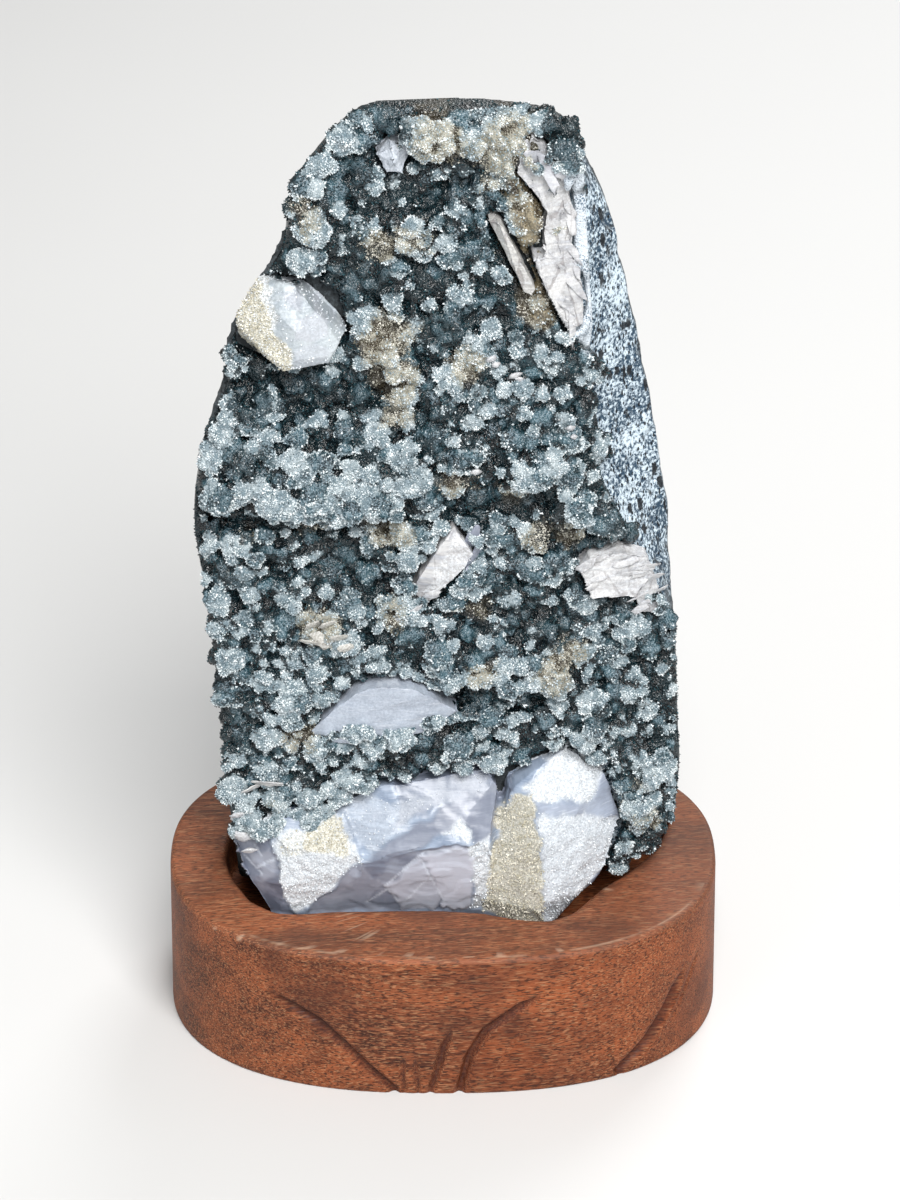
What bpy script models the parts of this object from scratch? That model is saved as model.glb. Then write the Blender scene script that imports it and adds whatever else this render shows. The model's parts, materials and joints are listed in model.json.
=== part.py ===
"""Calcite with quartz on a carved wooden stand.

A slab of basalt stands in a recess in the stand. Its front is a crust of
grey-green quartz lumps, with calcite crystals grown into the crust.
"""
import math
import random

import bmesh
import bpy
from mathutils import Matrix, Vector, geometry, noise

# Lengths here are in millimetres, and make_object turns them into metres.
MM = 0.001
GAP = 0.35

# Wooden stand: an oval block, seen from above a superellipse, turned a little.
STAND_WIDTH = 169.6
STAND_DEPTH = 117.6
STAND_HEIGHT = 50.0
STAND_POWER = 2.44
STAND_TURN = math.radians(-4.6)
STAND_FOOT_FLARE = 1.009
STAND_EDGE = 1.6
STAND_BELLY = 0.4
STAND_SIDES = 64
RECESS_DEPTH = 15.0
# Room between the slab's foot and the recess wall.
RECESS_PLAY = 2.5
# Recess outline at the stand's top, x and y, anticlockwise from the right.
RECESS_OUTLINE = [
    (73, 12), (66, -5.6), (55, -17.1), (46, -24.6), (36, -36.6), (28, -40.1),
    (19, -38.1), (9, -33.6), (-3, -31.1), (-16, -30.1), (-34, -29.9), (-43, -31.1),
    (-52, -30.1), (-60.5, -22.6), (-65.5, -10.1), (-67.5, 0.4), (-66, 12), (-60, 24),
    (-45, 32.5), (-20, 36), (20, 36), (48, 32), (65, 24),
]
# Height above the stand's top over which the slab widens to its full outline.
RECESS_EASE = 14.0
# Carved grooves in the stand's wall: points x and z, greatest width, depth.
GROOVES = [
    ([(-60, 34), (-53, 30.5), (-43, 25), (-36, 18), (-28, 9), (-20, 1)], 3.4, 2.0),
    ([(28, 37), (18, 31.5), (8, 23.5), (3, 14), (0, 1)], 3.4, 2.0),
    ([(-2, 25), (-5, 17), (-7, 8), (-9, 1)], 2.8, 1.6),
    ([(-17, 14), (-17.6, 8), (-17, 1)], 2.0, 1.2),
    ([(-13.6, 14), (-13.4, 8), (-12.6, 1)], 2.0, 1.2),
    ([(71, 31), (66, 20), (59, 10), (50, 2)], 4.2, 2.2),
]
# A groove starts narrow, is widest at this share of its length and narrows a little.
GROOVE_LEAST = 0.35
GROOVE_START = 0.08
GROOVE_SPAN = 0.62
WALL_HALVINGS = 40

# Slab of basalt: its front leans back from FACE_FOOT_Y at the stand's top.
SLAB_TOP = 309.5
SLAB_FOOT = STAND_HEIGHT - RECESS_DEPTH + GAP
FACE_FOOT_Y = -17.6
FACE_LEAN = 0.0578
BACK_FOOT_Y = 31.4
BACK_TOP_Y = 24.4
# How far the top falls away behind its front ridge.
TOP_FALL = 26.0
SLAB_SIDES = 96
SLAB_RINGS = (0.0, 0.1, 0.24, 0.42, 0.6, 0.78, 0.92, 1.0)
# Heights over which the top falls away, and over which the foot fills out behind.
TOP_BEGINS = 255.0
FOOT_FILL = (45.0, 95.0)
FOOT_FILL_WIDTH = 9.0
FOOT_FILL_DROP = 0.75
# How much the back edge is drawn in: a share of x, and millimetres at the top.
BACK_NARROWING = 0.13
BACK_TOP_DROP = 9.0
# How far the left side draws in towards the back, by height z.
LEFT_TAPER = [(140, 1.0), (180, 3.0), (205, 6.0), (228, 11.0), (262, 12.0), (285, 7.0), (305, 3.0)]
# Roughness of the broken rock: waves a millimetre and reach, coarse then fine.
ROUGH_WAVES = ((0.045, 2.0), (0.13, 1.0))
# The rough back: rings as shares of the slab's outline, and its low crown.
BACK_RINGS = (0.82, 0.6, 0.36)
BACK_MIDDLE = 160.0
BACK_CROWN = 3.0
VESICLE_COUNT = 40
VESICLE_SPACING = 10.0
VESICLE_RADIUS = (1.8, 3.4)
VESICLE_CLEAR = 12.0
# Outline of the slab's face, x and z, from the foot up the left and down the right.
LEFT_EDGE = [
    (-41, 36), (-51, 46), (-59, 54), (-63.5, 64), (-65, 79), (-66.5, 93), (-67.5, 107),
    (-69, 128), (-70, 141), (-71, 155), (-73, 168), (-74, 178), (-73.5, 188),
    (-72, 198), (-69.5, 211), (-65, 225), (-64, 237), (-62, 242), (-57, 252),
    (-52, 259), (-48, 265), (-44, 279), (-41, 288), (-37, 293), (-30, 302),
    (-23, 307),
]
RIGHT_EDGE = [
    (-14, 309.5), (0, 308.5), (13, 307.5), (27, 305.5), (34, 304), (40.5, 299.5),
    (43, 293), (46, 281), (49, 268), (52, 254), (55.5, 238), (59, 222), (61.5, 206),
    (65, 188), (68, 168), (70, 151), (70.7, 134), (70.8, 113), (70.7, 92), (70, 78),
    (67.5, 67), (62, 60), (50, 53), (39, 46), (32, 36),
]
# Width of the bare basalt facet on the right, by height z.
RIGHT_FACET = [
    (100, 0.5), (140, 2), (165, 12), (190, 20), (222, 18), (238, 12.5), (257, 10),
    (283, 5.5), (302, 3.5),
]
# The facet fades in between these two x, and slopes back over a share of the depth.
FACET_FROM = (15.0, 38.0)
FACET_SHARE = 0.42

# Quartz crust: grid of the points, and least and greatest thickness.
CRUST_STEP = 4.5
CRUST_LEAST = 1.8
CRUST_MOST = 15.0
# The least and greatest x, and the least z, between which its points are laid.
CRUST_SPAN = (-76.0, 72.0)
CRUST_FOOT = 52.0
CRUST_EDGE_STEP = 4.6
CRUST_EDGE_MOST = 5.5
CRUST_JITTER = 0.9
# Least distance of an inner point from the edge, and the mean relief between lumps.
CRUST_EDGE_CLEAR = 2.35
CRUST_MEAN = 3.4
# Heights z between which the crust leaves a bare strip on the left, and its width.
LEFT_STRIP = (196.0, 214.0, 262.0, 276.0)
LEFT_STRIP_WIDTH = 2.6
# The crust's lower edge, x and z, from left to right above the calcite.
CRUST_LOWER_EDGE = [
    (-64, 72), (-59, 73), (-53, 79), (-45, 81), (-35, 86), (-21, 91.5), (-9, 93),
    (2, 94.5), (12, 96), (17, 92), (25, 97), (36, 101), (42, 98), (50, 91), (53, 80),
    (55, 72), (52, 60), (48, 53.5),
]
# Broad swellings and hollows of the crust: x, z, radius, height.
SWELLINGS = [
    (-3, 301, 9, 6), (17, 297, 10, 6), (34, 300, 8, 2), (-40, 285, 10, 5),
    (-34, 274, 9, 4), (-41, 268, 9, 4), (-15, 305, 6, -3), (7, 290, 8, -3),
    (-2, 282, 7, -2), (-24, 288, 9, -2), (-20, 267, 8, 3), (-8, 269, 9, 3),
    (-24, 259, 10, -3), (-34, 252, 8, -2), (-17, 238, 8, 4), (-15, 226, 8, 4),
    (0, 240, 8, -3), (6, 230, 8, 4), (1, 214, 9, 3), (24, 214, 15, 5),
    (32, 203, 8, 5), (22, 247, 7, -3), (25, 264, 7, -3), (-45, 222, 16, -4),
    (-22, 222, 9, -4), (-52, 206, 14, 5), (-30, 200, 18, 5), (8, 183, 6, -5),
    (-14, 196, 10, 3), (5, 200, 9, 2), (-58, 169, 9, 3), (-32, 167, 11, -2),
    (-8, 173, 8, 2), (16, 172, 9, 3), (34, 142, 12, -3), (24, 152, 9, 3),
    (46, 136, 10, -3), (-53, 143, 14, 3), (-38, 147, 9, 3), (-36, 133, 9, 3),
    (-47, 123, 12, 4), (-14, 149, 13, 2), (-8, 136, 8, 2), (16, 128, 14, 3),
    (6, 117, 8, -4), (25, 116, 8, -4), (37, 109, 10, 3), (-25, 102, 18, 4),
    (4, 102, 15, 3), (58, 108, 9, 2), (60, 88, 11, 3), (57, 70, 9, 3),
]
# Overhanging ledges: lower edge x and z, height over the hollow, reach upwards.
LEDGES = [
    ([(-73, 193), (-57, 188), (-44, 185), (-34, 182), (-22, 182), (-12, 185)], 8.0, 17.0),
    ([(15, 193), (24, 190), (33, 184), (43, 178), (53, 171), (62, 165)], 8.0, 15.0),
    ([(-4, 124), (8, 124), (20, 120), (33, 125), (47, 127)], 6.5, 12.0),
    ([(-66, 214), (-55, 215), (-44, 214)], 3.0, 8.0),
]
# The hollow under a ledge: a share of its height and of its reach.
LEDGE_HOLLOW = 0.35
LEDGE_HOLLOW_REACH = 0.5
LUMP_COUNT = 240
LUMP_RADIUS = (4.5, 8.0)
LUMP_HEIGHT = (2.4, 5.0)
LUMP_SPACING = 0.85
# The pocket side of a crystal narrows towards the slab by this share of x.
CRYSTAL_DRAFT = 0.99

# Calcite crystals: corner points x, out from the slab's front, z.
CALCITE_LEFT_ROCK = [
    (-54, 5, 257), (-47, 9, 259), (-38, 11, 257), (-32, 12, 251.5), (-31, 14, 248),
    (-28.7, 15, 242), (-29, 15, 239), (-34, 15, 235), (-43, 15, 231.5), (-48, 13, 232),
    (-54, 9, 232.5), (-60, 5, 236), (-60.5, 4, 246), (-45, 19, 250), (-50, 16, 243),
]
BASE_LEFT_CRYSTAL = [
    (-66, 3.5, 69), (-64, 5, 62), (-60, 6, 56.5), (-48, 10.5, 50.5), (-52, 12, 58),
    (-53, 13.5, 75.5), (-59, 5, 80), (-45, 8, 79), (-32, 8, 82), (-26, 15, 67.5),
    (-33.5, 13, 59), (-44.5, 10.5, 50), (-52, 6, 38), (-34, 6, 38),
]
BASE_MIDDLE_CRYSTAL = [
    (-34, 5, 83.5), (-21, 5, 89), (-9, 5, 90.5), (2, 5, 92), (12, 6, 93), (15.5, 7, 88),
    (-26, 15, 67), (-17, 16, 72), (1, 17, 74.5), (12, 16, 72), (-32, 10, 51),
    (-20, 11.5, 56), (-17, 10, 50.5), (8, 10.5, 50.5), (14, 12, 50), (-32, 6, 38),
    (14, 6, 38),
]
BASE_RIGHT_CRYSTAL = [
    (36.5, 5, 98), (41.5, 4, 95), (48, 3, 89), (25.5, 7, 93.5), (17.5, 10, 88),
    (24.5, 14, 88), (26, 18, 79), (28, 20, 50), (10, 11, 50), (34.5, 17, 49.5),
    (38, 13.5, 53), (49, 7, 58), (53, 4, 72.5), (50, 3, 82), (25, 16, 84),
    (45.5, 10, 79), (27, 14, 38), (12, 7, 38), (34, 8, 40),
]
LENS_BLADE = [
    (-44, 5, 107.5), (-40, 7, 112), (-34, 9, 119.5), (-27.5, 11, 125.5),
    (-20.5, 12, 127.5), (-10.5, 12, 126), (-4, 11, 122), (3, 8, 115), (-8, 8, 108),
    (-18, 9, 106), (-30, 9.5, 106), (-42, 5.5, 105.5),
]
MIDDLE_BLADE = [
    (2, 6, 177), (6.5, 10, 171.5), (8, 10, 169), (5, 9, 164), (-5, 6.5, 152),
    (-11, 5, 146.5), (-1, 9, 174.5), (-8.5, 6.5, 161), (-13.5, 5, 150.5),
]
UPPER_SEAM_TOP = [
    (21.5, 6, 295), (24.5, 6, 300), (29, 6, 296), (36.5, 4, 281.5), (30, 6, 273.5),
    (26, 8, 283), (19.5, 8, 289),
]
UPPER_SEAM_MIDDLE = [
    (30.5, 6, 287), (36, 4.5, 281), (37, 4, 275), (37, 4, 259), (29, 6, 257),
    (27.5, 6, 269),
]
UPPER_SEAM_FOOT = [
    (24.5, 8, 263), (37, 5, 261), (40, 5, 252), (41, 4.5, 244), (40, 5.5, 240),
    (35, 7, 238), (32.5, 8, 243), (26, 9, 258),
]
LOWER_SEAM_LEFT = [
    (38.5, 10, 162), (42, 10, 166), (51, 9, 167.5), (60, 6, 164), (61.5, 7, 157.5),
    (56, 9, 151.5), (51, 10, 153), (42, 10, 152.5),
]
LOWER_SEAM_RIGHT = [
    (60, 6, 164), (63, 5, 155.5), (64.5, 4, 148), (62, 5, 143), (57, 8, 146),
    (55, 9, 154),
]
LAVENDER_KNOB = [
    (-20, 6, 295.5), (-16, 9, 300), (-11, 7.5, 300), (-9, 6, 295), (-12, 9, 290.5),
    (-17, 8, 290), (-15, 12, 295),
]
UPPER_BLADE = [
    (12, 6, 274), (14.5, 9.5, 275), (16.5, 9, 273.5), (26, 8.5, 253), (24.5, 8, 250.5),
    (22, 8, 252),
]

MATERIALS = {
    # name: colour, roughness, metallic, transmission, index of refraction
    "stand_wood": ((0.235, 0.098, 0.052, 1), 0.45, 0.0, 0.0, 1.5),
    "basalt": ((0.105, 0.135, 0.17, 1), 0.85, 0.0, 0.0, 1.5),
    "quartz_crust": ((0.21, 0.26, 0.265, 1), 0.5, 0.0, 0.0, 1.54),
    "calcite_white": ((0.72, 0.70, 0.74, 1), 0.35, 0.0, 0.15, 1.6),
    "calcite_lavender": ((0.55, 0.54, 0.66, 1), 0.3, 0.0, 0.3, 1.6),
    "calcite_seam": ((0.78, 0.72, 0.70, 1), 0.55, 0.0, 0.0, 1.6),
}


def clear_scene():
    """Remove the objects of the start-up scene."""
    for obj in list(bpy.data.objects):
        bpy.data.objects.remove(obj, do_unlink=True)


def material(name):
    """The named material, made on first use."""
    if name in bpy.data.materials:
        return bpy.data.materials[name]
    colour, rough, metal, clear, ior = MATERIALS[name]
    mat = bpy.data.materials.new(name)
    mat.use_nodes = True
    shader = mat.node_tree.nodes["Principled BSDF"]
    shader.inputs["Base Color"].default_value = colour
    shader.inputs["Roughness"].default_value = rough
    shader.inputs["Metallic"].default_value = metal
    shader.inputs["Transmission Weight"].default_value = clear
    shader.inputs["IOR"].default_value = ior
    return mat


def make_object(name, bm, material_name):
    """Turn a bmesh in millimetres into an object in metres."""
    bmesh.ops.scale(bm, vec=(MM, MM, MM), verts=bm.verts)
    bmesh.ops.recalc_face_normals(bm, faces=bm.faces)
    mesh = bpy.data.meshes.new(name)
    bm.to_mesh(mesh)
    bm.free()
    obj = bpy.data.objects.new(name, mesh)
    bpy.context.scene.collection.objects.link(obj)
    mesh.materials.append(material(material_name))
    return obj


def apply_boolean(target, other, operation):
    """Join or cut the target with the other object, then remove the other."""
    modifier = target.modifiers.new("boolean", "BOOLEAN")
    modifier.operation = operation
    modifier.object = other
    modifier.solver = "EXACT"
    graph = bpy.context.evaluated_depsgraph_get()
    mesh = bpy.data.meshes.new_from_object(target.evaluated_get(graph))
    target.modifiers.remove(modifier)
    target.data = mesh
    bpy.data.objects.remove(other, do_unlink=True)


def smooth(value, low, high):
    """Rise smoothly from 0 at low to 1 at high."""
    t = min(max((value - low) / (high - low), 0.0), 1.0)
    return t * t * (3 - 2 * t)


def lookup(table, value):
    """Straight-line reading of a table of pairs that rises in its first number."""
    if value <= table[0][0]:
        return table[0][1]
    for (a, b), (c, d) in zip(table, table[1:]):
        if value <= c:
            return b + (d - b) * (value - a) / (c - a)
    return table[-1][1]


def resample(points, count):
    """Place count points evenly along a closed outline."""
    closed = [Vector(p) for p in points] + [Vector(points[0])]
    lengths = [(b - a).length for a, b in zip(closed, closed[1:])]
    step = sum(lengths) / count
    out = []
    along = 0.0
    i = 0
    for k in range(count):
        while along + lengths[i] < k * step - 1e-9:
            along += lengths[i]
            i += 1
        out.append(closed[i].lerp(closed[i + 1], (k * step - along) / lengths[i]))
    return out


def bridge(bm, ring_a, ring_b):
    """Join two rings of the same count with quads."""
    count = len(ring_a)
    for i in range(count):
        j = (i + 1) % count
        bm.faces.new((ring_a[i], ring_a[j], ring_b[j], ring_b[i]))


# Wooden stand

def stand_radius(angle):
    """Distance from the stand's centre to its edge, as a share of the half sizes."""
    c = abs(math.cos(angle))
    s = abs(math.sin(angle))
    return (c ** STAND_POWER + s ** STAND_POWER) ** (-1 / STAND_POWER)


def stand_point(angle, z, inset=0.0):
    """A point of the stand's wall at height z."""
    flare = 1 + (STAND_FOOT_FLARE - 1) * (1 - z / STAND_HEIGHT)
    r = stand_radius(angle)
    x = (STAND_WIDTH / 2 * flare - inset) * r * math.cos(angle)
    y = (STAND_DEPTH / 2 * flare - inset) * r * math.sin(angle)
    return Matrix.Rotation(STAND_TURN, 3, "Z") @ Vector((x, y, z))


def wall_point(x, z):
    """The point of the stand's front wall at x and height z, and the way out there."""
    low = -math.pi
    high = 0.0
    for _ in range(WALL_HALVINGS):
        middle = (low + high) / 2
        if stand_point(middle, z).x < x:
            low = middle
        else:
            high = middle
    along = stand_point(high, z) - stand_point(low - 0.01, z)
    return stand_point(high, z), Vector((along.y, -along.x, 0)).normalized()


def recess_point(angle, z):
    """A point of the recess outline in the given direction from the centre."""
    ray = Vector((math.cos(angle), math.sin(angle)))
    best = None
    count = len(RECESS_OUTLINE)
    for i in range(count):
        a = Vector(RECESS_OUTLINE[i])
        b = Vector(RECESS_OUTLINE[(i + 1) % count])
        hit = geometry.intersect_line_line_2d(Vector((0, 0)), ray * STAND_WIDTH, a, b)
        if hit is not None:
            best = hit
    return Vector((best.x, best.y, z))


def groove_cutter(points, width, depth):
    """A V-shaped sweep along the stand's wall, narrow at its upper end."""
    bm = bmesh.new()
    rings = []
    last = len(points) - 1
    for i, (x, z) in enumerate(points):
        before = points[max(i - 1, 0)]
        after = points[min(i + 1, last)]
        along = Vector((after[0] - before[0], 0, after[1] - before[1])).normalized()
        on_wall, outward = wall_point(x, z)
        across = outward.cross(along).normalized()
        swell = math.sin(math.pi * (GROOVE_START + GROOVE_SPAN * i / last))
        size = GROOVE_LEAST + (1 - GROOVE_LEAST) * swell
        rings.append([
            bm.verts.new(on_wall + outward * depth + across * width * size),
            bm.verts.new(on_wall - outward * depth * size),
            bm.verts.new(on_wall + outward * depth - across * width * size),
        ])
    for ring_a, ring_b in zip(rings, rings[1:]):
        bridge(bm, ring_a, ring_b)
    bm.faces.new(rings[0])
    bm.faces.new(reversed(rings[-1]))
    bmesh.ops.triangulate(bm, faces=bm.faces)
    return make_object("groove_cutter", bm, "stand_wood")


def make_stand():
    """The oval block with its recess and carved grooves."""
    bm = bmesh.new()
    angles = [2 * math.pi * i / STAND_SIDES for i in range(STAND_SIDES)]
    profile = [
        (0.0, STAND_EDGE), (STAND_EDGE, 0.0), (STAND_HEIGHT / 2, -STAND_BELLY),
        (STAND_HEIGHT - STAND_EDGE, 0.0), (STAND_HEIGHT, STAND_EDGE),
    ]
    rings = [[bm.verts.new(stand_point(a, z, inset)) for a in angles] for z, inset in profile]
    for z in (STAND_HEIGHT, STAND_HEIGHT - RECESS_DEPTH):
        rings.append([bm.verts.new(recess_point(a, z)) for a in angles])
    for ring_a, ring_b in zip(rings, rings[1:]):
        bridge(bm, ring_a, ring_b)
    bm.faces.new(rings[0])
    bm.faces.new(reversed(rings[-1]))
    stand = make_object("wooden_stand", bm, "stand_wood")
    for points, width, depth in GROOVES:
        apply_boolean(stand, groove_cutter(points, width, depth), "DIFFERENCE")
    return stand


# Basalt slab

def face_y(z, out=0.0):
    """Depth of the slab's front at height z, and out millimetres before it."""
    return FACE_FOOT_Y + FACE_LEAN * (z - STAND_HEIGHT) - out


def back_y(z):
    """Depth of the slab's back at height z."""
    share = (z - SLAB_FOOT) / (SLAB_TOP - SLAB_FOOT)
    return BACK_FOOT_Y + (BACK_TOP_Y - BACK_FOOT_Y) * share


def slab_ring(outline, share):
    """The slab's outline at a share of the way from its front to its back."""
    ring = []
    for x, z in outline:
        facet = lookup(RIGHT_FACET, z) if z > RIGHT_FACET[0][0] else 0.0
        x -= facet * smooth(x, *FACET_FROM) * max(0.0, 1 - share / FACET_SHARE)
        left = smooth(-x, *FACET_FROM) * smooth(share, 0.0, FACET_SHARE)
        x += lookup(LEFT_TAPER, z) * left
        top = smooth(z, TOP_BEGINS, SLAB_TOP)
        z -= TOP_FALL * top * share
        fill = (1 - smooth(z, *FOOT_FILL)) * smooth(share, 0.1, 0.5)
        x += math.copysign(FOOT_FILL_WIDTH, x) * fill * smooth(abs(x), 20, 60)
        z = SLAB_FOOT + (z - SLAB_FOOT) * (1 - FOOT_FILL_DROP * fill)
        rounding = smooth(share, 0.6, 1.0)
        x *= 1 - BACK_NARROWING * rounding
        z -= BACK_TOP_DROP * rounding * top
        y = face_y(z, -GAP) + share * (back_y(z) - face_y(z, -GAP))
        ring.append(Vector((x, y, z)))
    return ring


def roughen(point, strength):
    """Push a point about by smooth seeded noise."""
    rough = Vector((0, 0, 0))
    for waves, reach in ROUGH_WAVES:
        rough += noise.noise_vector(point * waves) * reach
    return point + rough * strength


def into_recess(point):
    """Draw a low point of the slab inwards until it clears the recess wall."""
    low = 1 - smooth(point.z, STAND_HEIGHT, STAND_HEIGHT + RECESS_EASE)
    flat = Vector((point.x, point.y))
    limit = recess_point(math.atan2(point.y, point.x), 0).length - RECESS_PLAY
    if low > 0 and flat.length > limit:
        flat *= 1 + (limit / flat.length - 1) * low
    return Vector((flat.x, flat.y, point.z))


def make_slab():
    """The basalt: rings from front to back, with vesicles on its bare sides."""
    bm = bmesh.new()
    outline = resample(LEFT_EDGE + RIGHT_EDGE, SLAB_SIDES)
    rings = []
    for share in SLAB_RINGS:
        ring = []
        strength = smooth(share, 0.0, 0.3)
        for p in slab_ring(outline, share):
            moved = into_recess(roughen(p, strength))
            moved.z = max(moved.z, SLAB_FOOT)
            if p.z < SLAB_FOOT + 1.0:
                moved.z = SLAB_FOOT
            ring.append(bm.verts.new(moved))
        rings.append(ring)
    for ring_a, ring_b in zip(rings, rings[1:]):
        bridge(bm, ring_a, ring_b)
    front = bm.faces.new(rings[0])
    for share in BACK_RINGS:
        ring = []
        for p in slab_ring(outline, 1.0):
            y = p.y + BACK_CROWN * (1 - share)
            near = Vector((p.x * share, y, BACK_MIDDLE + (p.z - BACK_MIDDLE) * share))
            ring.append(bm.verts.new(into_recess(roughen(near, 0.8))))
        rings.append(ring)
        bridge(bm, rings[-2], ring)
    back = bm.faces.new(reversed(rings[-1]))
    bmesh.ops.triangulate(bm, faces=[front, back])
    slab = make_object("basalt_slab", bm, "basalt")
    apply_boolean(slab, vesicle_cutter(outline), "DIFFERENCE")
    return slab


def vesicle_cutter(outline):
    """Many small rough balls that sink vesicles in the slab's sides and back."""
    rng = random.Random(7)
    bm = bmesh.new()
    centres = []
    while len(centres) < VESICLE_COUNT:
        ring = slab_ring(outline, rng.uniform(0.2, 0.85))
        centre = ring[rng.randrange(len(ring))]
        crowded = any((centre - c).length < VESICLE_SPACING for c in centres)
        if centre.z < STAND_HEIGHT + VESICLE_CLEAR or crowded:
            continue
        centres.append(centre)
        size = rng.uniform(*VESICLE_RADIUS)
        made = bmesh.ops.create_icosphere(bm, subdivisions=1, radius=size)
        for vert in made["verts"]:
            vert.co = centre + vert.co * rng.uniform(0.8, 1.2)
    return make_object("vesicle_cutter", bm, "basalt")


# Quartz crust

def ledge_relief(x, z, edge, height, reach):
    """Relief of one ledge: full height above its edge, a hollow below."""
    first = edge[0][0]
    last = edge[-1][0]
    fade = smooth(x, first - 4, first + 5) * (1 - smooth(x, last - 5, last + 4))
    if fade == 0.0:
        return 0.0
    above = z - lookup(edge, x)
    if above >= 0:
        return fade * height * math.exp(-((above / reach) ** 2))
    below = above / (LEDGE_HOLLOW_REACH * reach)
    return -fade * LEDGE_HOLLOW * height * math.exp(-(below ** 2))


def lumps():
    """Seeded small lumps spread over the crust: x, z, radius, height."""
    rng = random.Random(11)
    out = []
    while len(out) < LUMP_COUNT:
        x = rng.uniform(*CRUST_SPAN)
        z = rng.uniform(60, SLAB_TOP)
        radius = rng.uniform(*LUMP_RADIUS)
        clear = (LUMP_SPACING * radius) ** 2
        if all((x - a) ** 2 + (z - b) ** 2 > clear for a, b, _, _ in out):
            out.append((x, z, radius, rng.uniform(*LUMP_HEIGHT)))
    return out


def relief(x, z, small):
    """Thickness of the crust at a place on the slab's front."""
    out = CRUST_MEAN
    for cx, cz, radius, height in SWELLINGS:
        near = ((x - cx) ** 2 + (z - cz) ** 2) / radius ** 2
        if near < 6:
            out += height * math.exp(-1.2 * near)
    for edge, height, reach in LEDGES:
        out += ledge_relief(x, z, edge, height, reach)
    dome = 0.0
    for cx, cz, radius, height in small:
        near = ((x - cx) ** 2 + (z - cz) ** 2) / radius ** 2
        if near < 1:
            dome = max(dome, height * math.sqrt(1 - near))
    return min(max(out + dome, CRUST_LEAST), CRUST_MOST)


def crust_outline():
    """The crust's edge: the slab's outline less the facet, above the calcite."""
    left = []
    for x, z in LEFT_EDGE:
        if z > CRUST_LOWER_EDGE[0][1]:
            strip = smooth(z, *LEFT_STRIP[:2]) * (1 - smooth(z, *LEFT_STRIP[2:]))
            left.append((x + LEFT_STRIP_WIDTH * strip, z))
    right = []
    for x, z in RIGHT_EDGE:
        if z > CRUST_LOWER_EDGE[-1][1]:
            facet = lookup(RIGHT_FACET, z) if z > RIGHT_FACET[0][0] else 0.0
            right.append((x - facet * smooth(x, *FACET_FROM), z))
    return left + right + list(reversed(CRUST_LOWER_EDGE))


def inside(x, z, outline):
    """Whether a point lies inside a closed outline."""
    result = False
    for (ax, az), (bx, bz) in zip(outline, outline[1:] + outline[:1]):
        if (az > z) != (bz > z) and x < ax + (bx - ax) * (z - az) / (bz - az):
            result = not result
    return result


def make_crust():
    """A lumpy sheet of quartz on the slab's front, flat behind."""
    rng = random.Random(5)
    small = lumps()
    outline = crust_outline()
    length = sum(math.dist(a, b) for a, b in zip(outline, outline[1:]))
    edge_count = int(length / CRUST_EDGE_STEP)
    edge = [tuple(p) for p in resample(outline, edge_count)]
    points = list(edge)
    row = 0
    z = CRUST_FOOT
    while z < SLAB_TOP:
        x = CRUST_SPAN[0] + (CRUST_STEP / 2 if row % 2 else 0.0)
        while x < CRUST_SPAN[1]:
            px = x + rng.uniform(-CRUST_JITTER, CRUST_JITTER)
            pz = z + rng.uniform(-CRUST_JITTER, CRUST_JITTER)
            clear = all(math.dist((px, pz), p) > CRUST_EDGE_CLEAR for p in edge)
            if clear and inside(px, pz, edge):
                points.append((px, pz))
            x += CRUST_STEP
        z += CRUST_STEP * math.sin(math.radians(60))
        row += 1
    flat = [Vector(p) for p in points]
    ring = list(reversed(range(len(edge))))
    placed, _, triangles, _, _, _ = geometry.delaunay_2d_cdt(flat, [], [ring], 1, 1e-5)
    bm = bmesh.new()
    front = []
    for i, p in enumerate(placed):
        out = relief(p.x, p.y, small)
        if i < len(edge):
            out = min(out, CRUST_EDGE_MOST)
        front.append(bm.verts.new((p.x, face_y(p.y, out), p.y)))
    for triangle in triangles:
        bm.faces.new([front[i] for i in triangle])
    behind = [bm.verts.new((p.x, face_y(p.y), p.y)) for p in placed[:len(edge)]]
    bridge(bm, front[:len(edge)], behind)
    bm.faces.new(reversed(behind))
    return make_object("quartz_crust", bm, "quartz_crust")


# Calcite crystals

def hull(name, corners, material_name, grow=0.0):
    """The convex solid of some corners, carried straight back to the slab."""
    bm = bmesh.new()
    shifts = [Vector((0, 0, 0))]
    if grow:
        shifts = [Vector((a, b, c)) * grow for a in (-1, 1) for b in (-1, 1) for c in (-1, 1)]
    for x, out, z in corners:
        for shift in shifts:
            bm.verts.new(Vector((x, face_y(z, out), z)) + shift)
            bm.verts.new(Vector((x * CRYSTAL_DRAFT, face_y(z), z)) + shift)
    result = bmesh.ops.convex_hull(bm, input=bm.verts)
    spare = [g for g in result["geom_interior"] if isinstance(g, bmesh.types.BMVert)]
    bmesh.ops.delete(bm, geom=spare, context="VERTS")
    bmesh.ops.dissolve_limit(bm, angle_limit=math.radians(1), verts=bm.verts, edges=bm.edges)
    bmesh.ops.triangulate(bm, faces=bm.faces)
    return make_object(name, bm, material_name)


def make_crystal(name, solids, material_name, crust):
    """One grown-together crystal from its convex parts, in a pocket of the crust."""
    crystal = hull(name, solids[0], material_name)
    for corners in solids[1:]:
        apply_boolean(crystal, hull("part", corners, material_name), "UNION")
    for corners in solids:
        pocket = hull("pocket", corners, material_name, grow=GAP)
        apply_boolean(crust, pocket, "DIFFERENCE")
    return crystal


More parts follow.
